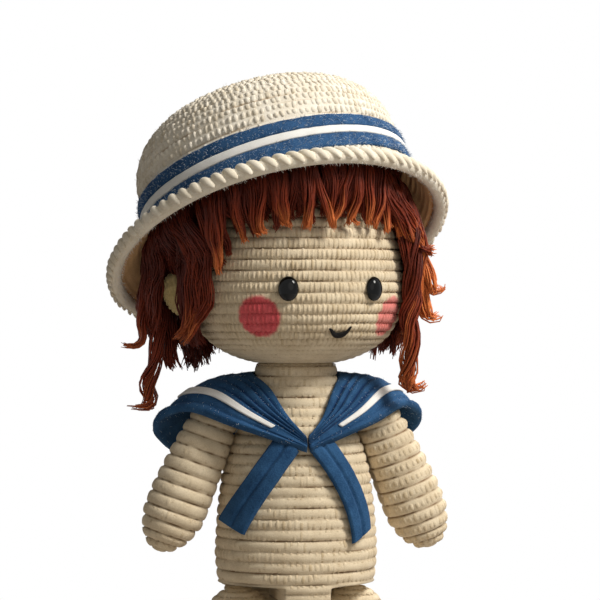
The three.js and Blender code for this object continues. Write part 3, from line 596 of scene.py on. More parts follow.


# Painted shade: the groove colour of each yarn below darkens the grooves between its rows and the creases of the
# felt.
CREAM = yarn(
    "cream_yarn_rows", (0.77, 0.66, 0.48), (0.60, 0.49, 0.33),
    groove=(0.26, 0.15, 0.07), rouge=((0.78, 0.125, 0.15), (0.57, 0.055, 0.07)), sheen=0.1,
)
# The hat's second colour, a warm tan, is painted shade and warm bounce light on its underside and inside.
HAT_CREAM = yarn(
    "hat_yarn_rows", (0.86, 0.81, 0.71), (0.75, 0.68, 0.55),
    groove=(0.5, 0.34, 0.18), rouge=((0.84, 0.53, 0.26), (0.64, 0.38, 0.17)), sheen=0.05,
)
EDGE_CREAM = yarn("edging_yarn", (0.88, 0.82, 0.70), (0.77, 0.69, 0.54), bump=0.3, sheen=0.15)
WHITE_FLUFF = yarn("white_fluff", (0.97, 0.96, 0.93), (0.9, 0.88, 0.82), tint=False)
EAR_CREAM = yarn("ear_yarn", (0.74, 0.60, 0.30), (0.58, 0.45, 0.20), groove=(0.35, 0.2, 0.08), sheen=0.1)
# Painted shade and light for the hair: the shaded roots' light and dark colours, then the lit ends' light and dark
# colours.
HAIR_SHADE_TO_LIGHT = ((0.10, 0.015, 0.009), (0.04, 0.007, 0.004), (0.84, 0.27, 0.085), (0.54, 0.13, 0.036))
AUBURN = yarn(
    "auburn_yarn", (0.28, 0.045, 0.015), (0.12, 0.016, 0.007),
    shade_to_light=HAIR_SHADE_TO_LIGHT, bump=0.6, sheen=0.0, stretch=(1, 1, 0.18), rough=0.5, shine=0.16,
)
FELT_BLUE = yarn(
    "blue_felt_cloth", (0.036, 0.11, 0.24), (0.012, 0.045, 0.115),
    groove=(0.3, 0.35, 0.5), bump=0.8, sheen=0.02, shine=0.08,
)
BAND_BLUE = yarn("blue_band_yarn", (0.045, 0.12, 0.26), (0.014, 0.05, 0.13), bump=0.8, sheen=0.02, shine=0.08)
PALE_BLUE = yarn("pale_blue_fluff", (0.72, 0.78, 0.85), (0.42, 0.52, 0.66), tint=False)
TAPE_WHITE = yarn("white_cotton_tape", (0.86, 0.86, 0.84), (0.74, 0.74, 0.72), bump=0.3, tint=False)
THREAD = yarn("black_thread_stitches", (0.012, 0.011, 0.01), (0.004, 0.003, 0.003), bump=0.4, sheen=0, tint=False)
STUFFING = yarn("loose_stuffing", (0.95, 0.94, 0.92), (0.8, 0.79, 0.77), bump=1.0, tint=False)
JOINT_PLASTIC = moulded("joint_plastic_moulded", (0.85, 0.85, 0.82), 0.5)
EYE_GLOSS = moulded("eye_gloss_black", (0.0008, 0.0008, 0.001), 0.08)
EYE_GLOSS.node_tree.nodes["Principled BSDF"].inputs["Specular IOR Level"].default_value = 0.17


def worked(name, places, sizes, dims, material, tints):
    """Plump stitches as one plain mesh: places are points and turns, dims width, length, thickness and bend."""
    points, turn = places
    seeds = piece(name + "_seeds", points, [], material, turn=turn, size=sizes, tint=tints)
    values = dict(zip(("Width", "Length", "Thickness", "Bend"), dims)) | {"Material": material}
    made = grown(seeds, STITCHES, name, values)
    bpy.data.objects.remove(seeds)
    for spare in ("turn", "size"):
        if spare in made.data.attributes:
            made.data.attributes.remove(made.data.attributes[spare])
    return made


def varied(rng, count, *ranges):
    """A size in each direction for each stitch, drawn from its range."""
    return np.stack([rng.uniform(low, high, count) for low, high in ranges], axis=1)


def one_fibre():
    """One thin fibre, a unit long, that bends over."""
    share = np.linspace(0, 1, 3)
    path = np.stack([0.45 * share**2, 0 * share, share * (1 - 0.25 * share)], axis=1)
    points, faces, _ = tubes(path[None], (0.07 * (1 - 0.75 * share))[None], 3)
    return piece("one_fibre", points, faces, WHITE_FLUFF)


FIBRE = one_fibre()


def fluff(name, surface, body, material, density, shortest, longest, seed, lean=0.8):
    """Loose fibres over a piece that is already in its place."""
    copy = surface.copy()
    copy.data = surface.data.copy()
    copy.data.transform(Matrix.Scale(1 / MM, 4))
    bpy.context.scene.collection.objects.link(copy)
    values = {
        "Fibre": FIBRE, "Density": density, "Lean": lean, "Shortest": shortest, "Longest": longest,
        "Seed": seed, "Material": material,
    }
    made = grown(copy, FIBRES, name, values)
    bpy.data.objects.remove(copy)
    return finished(made, Matrix.Identity(4), body)


def crocheted(name, form, matrix, body, seed, pitch, dims, bold, low=0, high=None, kept=None, rouge=None, **ridge):
    """A skin worked in rounds over a stuffed form, and the stitches that stand on its rows."""
    grid, groove = form.ridged(seed=seed, **ridge)
    points, faces = closed_grid(grid)
    shades = {"groove": ringed(groove)}
    if rouge:
        shades["rouge"] = rouge(points)
    skin = piece(name + "_skin", points, faces, CREAM, **shades)
    finished(skin, matrix, body, [name + "_shell"])
    rng = np.random.default_rng(seed + 50)
    places, turn, rows, angles = form.stitches(pitch, seed + 60, low, high, lift=-0.05)
    if kept:
        held = kept(places)
        places, turn, rows, angles = places[held], turn[held], rows[held], angles[held]
    sizes = varied(rng, len(places), (0.86, 1.08), (0.8, 1.15), (0.88, 1.04))
    sizes[:, 1] *= bold(places, rows, angles)
    tints = np.clip(rng.normal(0.25, 0.22, len(places)), 0, 0.9)
    made = worked(name + "_stitches", (places, turn), sizes, dims, CREAM, tints)
    if rouge:
        layer = made.data.attributes.new("rouge", "FLOAT", "POINT")
        layer.data.foreach_set("value", rouge(vertices(made)).astype(np.float32))
    return skin, finished(made, matrix, body)


# Head.
def head_half(height):
    """The head's half width at a height above the chin."""
    upper = np.asarray(height) > CHEEK_LEVEL
    half = np.where(upper, HEAD_HEIGHT - CHEEK_LEVEL, CHEEK_LEVEL)
    power = np.where(upper, UPPER_POWER, LOWER_POWER)
    share = np.minimum(np.abs(height - CHEEK_LEVEL) / half, 1)
    return HEAD_HALF * (1 - share**power) ** (1 / power)


def head_table():
    swing = np.linspace(-1, 1, 121) * math.pi / 2
    power = np.where(swing < 0, 2 / LOWER_POWER, 2 / UPPER_POWER)
    half = np.where(swing < 0, CHEEK_LEVEL, HEAD_HEIGHT - CHEEK_LEVEL)
    height = CHEEK_LEVEL + np.sign(swing) * half * np.abs(np.sin(swing)) ** power
    wide = HEAD_HALF * np.abs(np.cos(swing)) ** power
    wide[0] = wide[-1] = 0
    height = np.maximum(height, CHIN_FLAT)
    return np.stack([0 * wide, 0 * wide, height, wide, wide * HEAD_DEPTH_SHARE], axis=1)


def on_head(angle, height, stand=0.0):
    """Points on the head's skin, at angles from the face in degrees."""
    turn = np.radians(angle)
    half = head_half(height) + stand
    return np.stack([half * np.sin(turn), -half * np.cos(turn) * HEAD_DEPTH_SHARE, height + 0 * half], axis=-1)


def rouge_at(points):
    """How much rouge a place has: a round patch on each cheek, that a hand has rubbed on."""
    total = np.zeros(len(points))
    rough = 0.35 * waves(points[:, 0] * 0.9, points[:, 2] * 1.7, 5, count=7, reach=3, scale=1.2)
    for angle, amount in ROUGES:
        far = np.linalg.norm(points - on_head(angle, np.array(ROUGE_LEVEL)), axis=1) + rough
        total = np.maximum(total, amount * np.clip((ROUGE_RADIUS - far) / ROUGE_BLUR + 0.5, 0, 1))
    return total


def make_head():
    form = Rounds(head_table(), 290, start=(2, EYE_ROW_LEVEL), step=0.66)
    quiet = np.clip((form.rings[:, 2] - 3) / 7, 0.25, 1)[:, None]

    def bold(places, rows, angles):
        """The stitches stand out in the middle of the face and fade towards the chin."""
        middle = 0.55 + 0.45 * np.cos(angles - 0.1)
        chin = np.clip((places[:, 2] - 3) / 9, 0.2, 1)
        patchy = 0.8 + 0.45 * waves(angles, rows * 3.1, 8, count=6, reach=14, scale=1.3)
        return np.clip(middle * chin * patchy, 0.12, 1.15)

    crocheted(
        "head", form, HEAD, "head", seed=3, pitch=1.8, dims=(1.62, 3.75, 1.35, 0.16), bold=bold,
        high=np.interp(HAIRLINE, *form.lift(2)), rouge=rouge_at, quiet=quiet, rise=0.2, fall=1.25,
    )


def make_eyes():
    for name, angle in EYE_ANGLES.items():
        table = [[0, 0, 0, 0, 0]] + [
            [0, 0, EYE_OUT * math.sin(a), EYE_WIDE * math.cos(a), EYE_HIGH * math.cos(a)]
            for a in np.linspace(0, math.pi / 2, 15)
        ]
        table[-1][3:] = [0, 0]
        points, faces = closed_grid(Rounds(table, 48, step=0.28, soften=0).base)
        spot = on_head(angle, np.array(EYE_LEVEL), 2 * GAP)
        facing = Matrix.Rotation(math.radians(angle), 4, "Z") @ Matrix.Rotation(math.pi / 2, 4, "X")
        dome = piece(f"eye_{name}_dome", points, faces, EYE_GLOSS)
        finished(dome, HEAD @ Matrix.Translation(spot) @ facing, "head", [f"eye_{name}"])


def make_mouth():
    """A crescent of black thread, laid side by side, with a short strand at each corner."""
    share = np.linspace(0, 1, 26)
    arc = 1 - np.abs(2 * share - 1) ** 2.7
    strands = [
        ((MOUTH_HALF - 0.05 * k) * (2 * share - 1), 0.1 - (MOUTH_DEPTH - 0.42 * k) * arc, MOUTH_STRAND)
        for k in range(4)
    ]
    strands += [(-2.9 - 1.5 * share, -0.8 + 0.9 * share, 0.5), (3.2 + 1.0 * share, -0.7 + 1.0 * share, 0.4)]
    tilt = math.radians(MOUTH_TILT)
    paths, radii = [], []
    for x, y, thick in strands:
        across = x * math.cos(tilt) - y * math.sin(tilt)
        height = MOUTH_LEVEL + (x * math.sin(tilt) + y * math.cos(tilt))
        angle = MOUTH_ANGLE + np.degrees(across / head_half(height))
        paths.append(on_head(angle, height, MOUTH_OUT))
        radii.append(thick * (0.55 + 0.45 * np.sin(math.pi * share) ** 0.5))
    points, faces, _ = tubes(np.array(paths), np.array(radii), 6)
    finished(piece("mouth_thread", points, faces, THREAD), HEAD, "head", ["mouth"])


def make_ears():
    for name, side in SIDES:
        table = [[0, 0, -math.cos(a), math.sin(a), math.sin(a)] for a in np.linspace(0, math.pi, 40)]
        table[0][3:] = table[-1][3:] = [0, 0]
        form = Rounds(table, 72, row=0.26, step=0.05, soften=0)
        grid, groove = form.ridged(rise=0.02, fall=0.09, seed=20 + side, wander=0.05)
        turned = grid[..., [2, 1, 0]] * np.array([side * EAR_OUT, EAR_THICK, EAR_HIGH])
        cup = np.clip(turned[..., 0] * side / EAR_OUT, 0, 1) * np.clip(-turned[..., 1], 0, 4)
        turned[..., 1] += EAR_CUP * cup
        turned[..., 0] += side * EAR_LEAN * turned[..., 2]
        back = math.radians(side * EAR_TURN)
        spin = np.array([[math.cos(back), -math.sin(back), 0], [math.sin(back), math.cos(back), 0], [0, 0, 1]])
        points, faces = closed_grid((turned + np.array([side * EAR_REACH, 0, EAR_LEVEL])) @ spin.T)
        ear = piece(f"ear_{name}_skin", points, faces, EAR_CREAM, groove=ringed(groove))
        finished(ear, HEAD, "head", [f"ear_{name}"])
        if side > 0:
            ear.data.flip_normals()


# Torso and limbs.
TORSO_SHARES = [
    [0, 0], [0.4, 0.01], [0.66, 0.05], [0.84, 0.12], [0.96, 0.22], [1, 0.33], [0.975, 0.47],
    [0.91, 0.62], [0.83, 0.7], [0.73, 0.77], [0.6, 0.84], [0.54, 0.9], [0.5, 0.96], [0.5, 1], [0, 1],
]


def torso_half(height):
    """The torso's half width at a height above the floor."""
    wide, high = np.array(TORSO_SHARES[1:-1]).T
    return np.interp((height - LEG_LENGTH + HIP_DROP) / TORSO_HEIGHT, high, wide) * HIP_HALF


def make_torso():
    foot = LEG_LENGTH - HIP_DROP
    table = [
        [0, 0, foot + high * TORSO_HEIGHT, wide * HIP_HALF, wide * HIP_HALF * TORSO_DEPTH_SHARE]
        for wide, high in TORSO_SHARES
    ]

    def bold(places, rows, angles):
        return np.clip(0.55 + 0.5 * waves(angles, rows * 2.7, 31, count=6, reach=12, scale=1.1), 0.1, 1)

    form = Rounds(table, 220, step=0.7, soften=4)
    skin, _ = crocheted(
        "torso", form, DOLL, "torso", seed=30, pitch=2.2, dims=(2.1, 3.6, 1.2, 0.16), bold=bold,
        low=24, kept=lambda places: ~swept_by_legs(places, 1.5), rise=0.25, fall=1.2,
    )
    tuck_hips(skin)


def swept_by_legs(points, spare=0.0):
    """Which points of the torso lie where the legs swing."""
    reach = LEG_HALF + GAP + LEG_SWELL + spare
    forward, up = -points[:, 1], points[:, 2] - LEG_LENGTH
    back = math.radians(LEG_BACK_SWING)
    near = np.hypot(forward, up) < reach
    behind = up * math.sin(back) - forward * math.cos(back) < reach
    return (np.abs(points[:, 0]) > HIP_PLANE - spare) & (near | (forward > 0) | behind) & (up < reach)


def tuck_hips(part):
    """Presses the torso in where the legs swing against it."""
    shift = np.array([AXIS.x, AXIS.y, 0])
    points = vertices(part) / MM - shift
    inside = swept_by_legs(points)
    points[inside, 0] = np.sign(points[inside, 0]) * HIP_PLANE
    move_vertices(part, (points + shift) * MM)


def limb_places(kind, name, side):
    """The frame of a limb: at its joint, leaning with its arm's axis and mirrored on the right."""
    pivot = Vector(JOINTS[f"{kind}_{name}_swing"]["pos_m"]) / MM
    lean = math.radians(ARM_LEAN if kind == "arm" else 0)
    return Matrix.Translation(pivot) @ Matrix.Rotation(-side * lean, 4, "Y") @ Matrix.Diagonal((side, 1, 1, 1))


def pressed_flat(part, matrix):
    """Flattens a limb where it lies against the torso, in the limb's own frame."""
    back = np.array(Matrix.Scale(MM, 4) @ matrix)
    inverse = np.array((Matrix.Scale(MM, 4) @ matrix).inverted())
    points = vertices(part) @ inverse[:3, :3].T + inverse[:3, 3]
    points[:, 0] = np.maximum(points[:, 0], GAP)
    move_vertices(part, points @ back[:3, :3].T + back[:3, 3])


def level_sole(part):
    """Presses whatever dips below the floor up to it."""
    points = vertices(part)
    points[:, 2] = np.maximum(points[:, 2], 0)
    move_vertices(part, points)


ARM_SHARES = [[0, 0], [0.42, 0.03], [0.78, 0.12], [0.97, 0.26], [1, 0.42], [0.93, 0.68], [0.84, 0.86]]
LEG_RINGS = [
    [0, 0, 0, 0, 0], [0, -3, 0, 10.4, 18.4], [0, -3, 2.4, 12.3, 21.8], [0, -3, 8.2, 13, 23],
    [0, -2.6, 14, 12.2, 20.6], [0, -1.4, 19, 11, 15.6], [0, -0.3, 23, 10.4, 11.6], [0, 0, 27, 10.4, 10.6],
    [0, 0, 34, 10.8, 10.8], [0, 0, 50, 11.8, 11.8], [0, 0, 60.6, 12.4, 12.4],
]


def limb_table(kind):
    """The rings of an arm or a leg, in the limb's own frame, with a round top."""
    if kind == "arm":
        tip = ARM_TOP_HALF - ARM_LENGTH
        rows = [[0, 0, tip * (1 - high), wide * ARM_HALF, wide * ARM_HALF] for wide, high in ARM_SHARES]
        half = ARM_TOP_HALF
    else:
        rows = [[x, y, z - LEG_LENGTH, wide, deep] for x, y, z, wide, deep in LEG_RINGS]
        rows[0][1] = LEG_RINGS[1][1]
        half = LEG_HALF
    for angle in np.linspace(0, math.pi / 2, 7):
        wide = half * math.cos(angle) if angle < 1.5 else 0
        rows.append([0, 0, half * math.sin(angle), wide, wide])
    table = np.array(rows)
    if kind == "arm":
        spread = math.radians(ARM_SPREAD)
        table[:, 0] = half * math.cos(spread) - table[:, 2] * math.sin(spread)
        table[:, 2] = table[:, 2] * math.cos(spread) + half * math.sin(spread)
        table[:, 3:] = np.maximum(table[:, 3:] - ARM_SLIM, 0)
    else:
        table[:, 0] = half
    return table


def make_limbs():
    for kind in ("arm", "leg"):
        for name, side in SIDES:
            arm = kind == "arm"
            form = Rounds(limb_table(kind), 110, row=ARM_ROW if arm else ROW, step=0.7, soften=1.5)
            matrix = limb_places(kind, name, side)
            seed = 40 + 7 * side + (0 if arm else 3)
            knobby = 0.95 if arm and side > 0 else 0.45

            def bold(places, rows, angles, knobby=knobby, seed=seed):
                patchy = waves(angles, rows * 2.3, seed, count=5, reach=9, scale=1.1)
                return np.clip(knobby + 0.4 * patchy, 0.12, 1.2)

            label = f"{kind}_{name}"
            parts = crocheted(
                label, form, matrix, label, seed, pitch=2.2, dims=(2.15, 3.6, 1.3, 0.16), bold=bold,
                kept=lambda places: places[:, 0] > BARE_AT_BODY, rise=0.25, fall=1.2,
            )
            for part in parts:
                pressed_flat(part, matrix)
                if not arm:
                    level_sole(part)


# Hat.
def crown_line(inset):
    """The crown's side and top in section, as radii and heights, from its foot to its middle."""
    wide = CROWN_OUTER - CROWN_WALL * slope(CROWN_TAPER) - CROWN_ROUND
    high = SEAT + CROWN_WALL
    points = [[CROWN_OUTER - inset, FOOT]]
    for angle in np.linspace(0, math.pi / 2, 9):
        radius = CROWN_ROUND - inset
        points.append([wide + radius * math.cos(angle), high + radius * math.sin(angle)])
    return points + [[0, high + CROWN_ROUND - inset + CROWN_DOME]]


def brim_line(inset):
    """The brim in section, as radii and heights, from the crown's foot outwards."""
    drop, wide = BRIM_DROP - FOOT_DROP + RIM_DROP, BRIM_EDGE - CROWN_OUTER + RIM_OUT
    shares = np.linspace(0, 1, 9)[1:]
    return [[CROWN_OUTER - inset + wide * s, FOOT - drop * s**BRIM_BEND] for s in shares]


def skewed(points):
    """Leans the crown's foot, and moves what lies below it by the brim's own tilt and shift."""
    points = np.array(points, dtype=float)
    x, y, z = np.moveaxis(points, -1, 0)
    share = np.clip((FOOT - z) / (BRIM_DROP - FOOT_DROP), 0, 1)
    rise = -y * slope(BRIM_TILT_BACK) - x * slope(BRIM_TILT_SIDE)
    low = np.clip((FOOT + CROWN_LEAN_HEIGHT - z) / CROWN_LEAN_HEIGHT, 0, 1)
    lean = (1 - share) * low * x * slope(CROWN_LEAN)
    return points + np.stack([share * BRIM_SHIFT[0], share * BRIM_SHIFT[1], share * rise + lean], axis=-1)


def make_hat():
    line = crown_line(HAT_WALL)[::-1] + brim_line(HAT_WALL) + brim_line(0)[::-1] + crown_line(0)
    form = Rounds([[0, 0, z, r, r] for r, z in line], 220, row=HAT_ROW, step=0.85, soften=0.8)
    rim = form.spots[np.argmax(form.rings[:, 3])]
    within = form.spots < rim
    quiet = np.where(within, 0.55, 0.9)[:, None]
    grid, groove = form.ridged(rise=0.2, fall=0.8, seed=70, quiet=quiet, wander=0.09)
    points, faces = closed_grid(grid)
    # Painted shade: the inside of the crown and the underside of the brim are painted a warm tan.
    under = ringed(within[:, None] + 0 * groove)
    hat = piece("hat_crochet", skewed(points), faces, HAT_CREAM, groove=ringed(groove), rouge=under)
    finished(hat, HAT, "hat", ["hat"])
    rng = np.random.default_rng(71)
    places, turn, _, _ = form.stitches(2.4, 72, low=rim + 1.5, high=form.spots[-1] - 1)
    sizes = varied(rng, len(places), (0.7, 1.1), (0.6, 1.2), (0.7, 1.05))
    by_bands = (places[:, 2] > FOOT + 0.5) & (places[:, 2] < FOOT + BAND_ROOM)
    bare = by_bands & (np.hypot(places[:, 0], places[:, 1]) < CROWN_OUTER + 1)
    places, turn, sizes = places[~bare], turn[~bare], sizes[~bare]
    turn[:, 1] += rng.normal(0, 0.25, len(turn))
    tints = np.clip(rng.normal(0.2, 0.2, len(places)), 0, 0.9)
    knobs = worked("hat_knobs", (skewed(places), turn), sizes, (2.2, 2.9, 1.5, 0.12), HAT_CREAM, tints)
    finished(knobs, HAT, "hat")
    fluff("hat_fluff", knobs, "hat", WHITE_FLUFF, 0.1, 0.5, 1.6, 73)


def make_edging():
    """The brim's rolled edge, with a plump slanting stitch whipped over it for each of its steps."""
    radius = EDGING / 2
    reach, level = BRIM_EDGE + radius + GAP - HAT_WALL / 2, SEAT - BRIM_DROP - radius - GAP
    count, sides = 240, 14
    turn, spin = (np.arange(count) / count * TURN)[:, None], np.arange(sides) / sides * TURN
    out = reach + radius * np.cos(spin)[None] * (1 + 0.03 * waves(turn, 0, 80))
    high = level + (radius + 0.15) * np.sin(spin)[None] + 0 * turn
    points = skewed(on_ring(out, turn, high)).reshape(-1, 3)
    rim = piece("hat_rim_roll", points, ring_quads(count, sides), EDGE_CREAM)
    finished(rim, HAT, "hat", ["hat_brim_edging"])
    rng = np.random.default_rng(81)
    angle = (np.arange(WHIPS) + rng.normal(0, 0.05, WHIPS)) / WHIPS * TURN
    tilt, slant = math.radians(WHIP_TILT), math.radians(WHIP_SLANT)
    normal = on_ring(math.sin(tilt), angle, math.cos(tilt))
    across = np.stack([np.cos(angle), np.sin(angle), 0 * angle], axis=1)
    leaning = across * math.cos(slant) + unit(np.cross(normal, across)) * math.sin(slant)
    spot = skewed(on_ring(reach, angle, level) + normal * (radius + 0.1))
    sizes = varied(rng, WHIPS, (0.92, 1.08), (0.9, 1.1), (0.92, 1.1))
    tints = np.clip(rng.normal(0.12, 0.1, WHIPS), 0, 0.5)
    places = spot, turns(leaning, normal)
    whips = worked("hat_whip_stitches", places, sizes, (3.8, 8.0, 3.0, 0.1), EDGE_CREAM, tints)
    smoother = whips.modifiers.new("round", "SUBSURF")
    smoother.levels = smoother.render_levels = 1
    finished(whips, HAT, "hat")
    fluff("hat_rim_fluff", rim, "hat", WHITE_FLUFF, 0.6, 0.5, 1.6, 83)


def make_bands():
    """The three bands that lie one above another round the crown's foot."""
    count, sides = 300, 16
    turn = (np.arange(count) / count * TURN)[:, None]
    angles = [i / sides * TURN for i in range(sides)]
    across = np.array([math.copysign(abs(math.cos(a)) ** 0.5, math.cos(a)) for a in angles])
    up = np.array([math.copysign(abs(math.sin(a)) ** 0.7, math.sin(a)) for a in angles])
    foot = FOOT + 0.2
    for seed, (name, wide) in enumerate(BANDS):
        white = name == "white"
        material, slot, rough = (TAPE_WHITE, "white_tape", 0.35) if white else (BAND_BLUE, "blue_yarn", 1.0)
        bulge = 0.25 * waves(turn, up[None] * 6, 90 + seed, count=8, reach=60, scale=2)
        ragged = 0.4 * waves(turn, up[None], 95 + seed, count=10, reach=70)
        thick = (BAND_THICK / 2 + 0.25) * across * (1 + rough * bulge)
        high = foot + wide / 2 + (wide / 2 + 0.12) * up + rough * ragged * up
        out = CROWN_OUTER - (high - SEAT) * slope(CROWN_TAPER) + GAP + BAND_THICK / 2 + 0.1 + thick
        points = skewed(on_ring(out, turn, high)).reshape(-1, 3)
        band = piece(f"hat_{name}_band", points, ring_quads(count, sides), material)
        finished(band, HAT, "hat", [f"hat_band_{name}"])
        if not white:
            flecks = 1.1 if name == "lower" else 0.8
            fluff(f"hat_{name}_band_pile", band, "hat", material, 0.4, 0.5, 1.4, 97 + seed, lean=0.9)
            fluff(f"hat_{name}_band_flecks", band, "hat", PALE_BLUE, flecks, 0.5, 1.45, 99 + seed, lean=1.3)
        foot += wide + GAP


# Collar and ties.
def smooth_curve(points, count=240):
    """Points along a smooth curve that passes through the given ones, as many between each pair."""
    points = np.asarray(points, dtype=float)
    points = np.concatenate([2 * points[:1] - points[1:2], points, 2 * points[-1:] - points[-2:-1]])
    spots = np.linspace(0, len(points) - 3 - 1e-6, count)
    i = np.floor(spots).astype(int)
    t = (spots - i)[:, None]
    a, b, c, d = (points[i + k] for k in range(4))
    return 0.5 * (2 * b + (c - a) * t + (2 * a - 5 * b + 4 * c - d) * t**2 + (3 * b - a - 3 * c + d) * t**3)


CHEST_FRONT = torso_half(V_LEVEL) * TORSO_DEPTH_SHARE + FELT + GAP
NECK_EDGE = NECK_HALF + FELT / 2
NECK_SHARES = [
    [0, 0.586, 1], [0.75, 0.41, 1], [1, 0, 0.98], [0.74, -0.53, 0.78], [0.42, -0.82, 0.4], [0.03, -1, 0.087],
]
HEM_SHARES = [
    [0, 1.238, -1], [0.68, 1.119, -0.78], [0.98, 0.62, 0.2], [1, 0.119, 1], [0.8, -0.36, 1.3],
    [0.5, -0.85, 0.7], [0.014, -1.095, -0.22],
]


def collar_edge(shares, reach, top):
    return smooth_curve([[x * reach, y * CHEST_FRONT, V_LEVEL + z * (top - V_LEVEL)] for x, y, z in shares])


INNER_EDGE = collar_edge(NECK_SHARES, NECK_EDGE, NECK_LEVEL)
OUTER_EDGE = collar_edge(HEM_SHARES, TIP_REACH, TIP_LEVEL)


def on_collar(u, v):
    """The felt's upper face, with u from the right end of the V round the neck to the left end."""
    half = np.abs(2 * u - 1)
    share = np.linspace(0, 1, len(INNER_EDGE))
    inner, outer = sampled(INNER_EDGE, share, half), sampled(OUTER_EDGE, share, half)
    point = inner + (outer - inner) * v[..., None]
    point[..., 2] += COLLAR_ARCH * np.sin(math.pi * v) * (1 - half**4)
    point[..., 2] += np.where(u < 0.5, 0, HEM_LIFT_LEFT * v**2 * np.sin(math.pi * np.clip(half, 0, 1)))
    point[..., 0] *= np.where(u < 0.5, -1 - HEM_OUT_RIGHT * v, 1 - HEM_IN_LEFT * v)
    return point


def cloth_piece(name, surface, across, down, thick, material, lift=0.0, relief=None, roll=0.0):
    """A cloth of even thickness over a surface, with round edges, from a grid of u and v."""
    u, v = np.meshgrid(np.linspace(0, 1, across), np.linspace(0, 1, down), indexing="ij")
    face = surface(u, v)
    normal = unit(np.cross(np.gradient(face, axis=0), np.gradient(face, axis=1)))
    height = 0 * u if relief is None else relief(u, v)
    swell = roll * np.exp(-((v - 0.955) ** 2) / 0.0012)
    upper = face + normal * (lift + height + swell)[..., None]
    lower = face + normal * (lift - thick + 0.3 * np.clip(height, 0, None))[..., None]
    middle_low = (upper[:, :1] + lower[:, :1]) / 2 + 0.35 * thick * unit(face[:, :1] - face[:, 1:2])
    middle_high = (upper[:, -1:] + lower[:, -1:]) / 2
    middle_high = middle_high + (0.4 * thick + swell[:, -1:, None]) * unit(face[:, -1:] - face[:, -2:-1])
    ring = np.concatenate([upper, middle_high, lower[:, ::-1], middle_low], axis=1)
    caps = []
    for end, near in ((0, 1), (-1, -2)):
        caps.append(ring[end].mean(axis=0) + 0.3 * thick * unit(face[end, down // 2] - face[near, down // 2]))
    count = ring.shape[1]
    flat = ring.reshape(-1, 3)
    points = np.concatenate([flat, np.array(caps)])
    ids = np.arange(across * count).reshape(across, count)
    beside = np.roll(ids, -1, axis=1)
    quads = np.stack([ids[:-1], beside[:-1], beside[1:], ids[1:]], axis=-1).reshape(-1, 4).tolist()
    first, last = len(flat), len(flat) + 1
    quads += [(first, int(b), int(a)) for a, b in zip(ids[0], beside[0])]
    quads += [(last, int(a), int(b)) for a, b in zip(ids[-1], beside[-1])]
    # Painted shade: each crease of the upper face is darkened by its depth.
    groove = np.concatenate([np.clip(-height / 0.9, 0, 1), 0 * u[:, :1], 0 * u, 0 * u[:, :1]], axis=1).ravel()
    groove = np.concatenate([groove, [0, 0]])
    return recalculated(piece(name, points, quads, material, groove=groove))


def collar_relief(u, v):
    """Creases that run along the front flaps, a seam near the hem and a rough nap."""
    half = np.abs(2 * u - 1)
    total = 0 * u
    for k, place in enumerate((0.13, 0.27, 0.42, 0.56)):
        line = place + 0.05 * np.sin(5 * half + 1.7 * k) * (1 - half)
        fade = np.clip((half - 0.28 - 0.05 * k) / 0.3, 0, 1)
        total = total - 0.95 * fade * np.exp(-((v - line) ** 2) / 0.0011)
        total = total + 0.45 * fade * np.exp(-((v - line - 0.06) ** 2) / 0.0018)
    total = total - 0.5 * np.exp(-((v - 0.88) ** 2) / 0.0006)
    rough = waves(u * TURN * 3, v * 60, 110, count=9, reach=60, scale=1.2)
    return total + 0.12 * rough


def make_collar():
    collar = cloth_piece("collar_felt", on_collar, 320, 50, FELT, FELT_BLUE, relief=collar_relief, roll=0.7)
    finished(collar, DOLL, "torso", ["collar"])
    fluff("collar_pile", collar, "torso", FELT_BLUE, 0.1, 0.4, 0.9, 111, lean=1.0)
    fluff("collar_flecks", collar, "torso", PALE_BLUE, 0.16, 0.4, 1.0, 112, lean=1.4)
    for name, side in SIDES:
        start, end = (0.72, 0.95) if side > 0 else (0.28, 0.05)

        def tape_surface(u, v, start=start, end=end):
            return on_collar(start + (end - start) * u, TAPE_START + TAPE_WIDE * v)

        lift = 0.75 if side > 0 else TAPE_THICK - 0.75
        tape = cloth_piece(f"tape_{name}", tape_surface, 120, 9, TAPE_THICK, TAPE_WHITE, lift=lift)
        finished(tape, DOLL, "torso", [f"collar_tape_{name}"])


def tie_surface(side):
    """The face of a tie that lies on the chest, with u down it and v across it."""
    tilt = math.atan2(TIE_SPREAD, TIE_DROP)

    def surface(u, v):
        u = u * (0.9 if side < 0 else 1)
        out = (0.5 - v) * TIE_WIDTH
        spread = 2.6 + 19.6 * (1 - (1 - u) ** 1.3) if side < 0 else 15 * (1 - (1 - u) ** 1.75)
        x = TIE_WIDTH * TIE_ROOT + spread + out * math.cos(tilt)
        z = V_LEVEL - FELT + TIE_RISE - (TIE_DROP * 1.09 + TIE_RISE) * u + out * math.sin(tilt)
        radius = torso_half(z) + 3 * GAP + 0.5
        y = -np.sqrt(np.maximum(radius**2 - x**2, 0)) * TORSO_DEPTH_SHARE
        return np.stack([side * x, y, z], axis=-1)

    return surface


def make_ties():
    for name, side in SIDES:

        def relief(u, v, side=side):
            groove = -0.8 * np.exp(-((v - 0.5) ** 2) / 0.004)
            edges = 0.3 * np.sin(math.pi * v) ** 0.5
            rough = 0.14 * waves(u * TURN * 2, v * 30, 120 + side, count=9, reach=50, scale=1.5)
            return groove + edges + rough

        surface = tie_surface(side)
        flip = (lambda u, v, s=surface: s(u, 1 - v)) if side > 0 else surface
        tie = cloth_piece(f"tie_{name}_felt", flip, 100, 26, TIE_THICK, FELT_BLUE, lift=TIE_THICK, relief=relief)
        finished(tie, DOLL, "torso", [f"tie_{name}"])


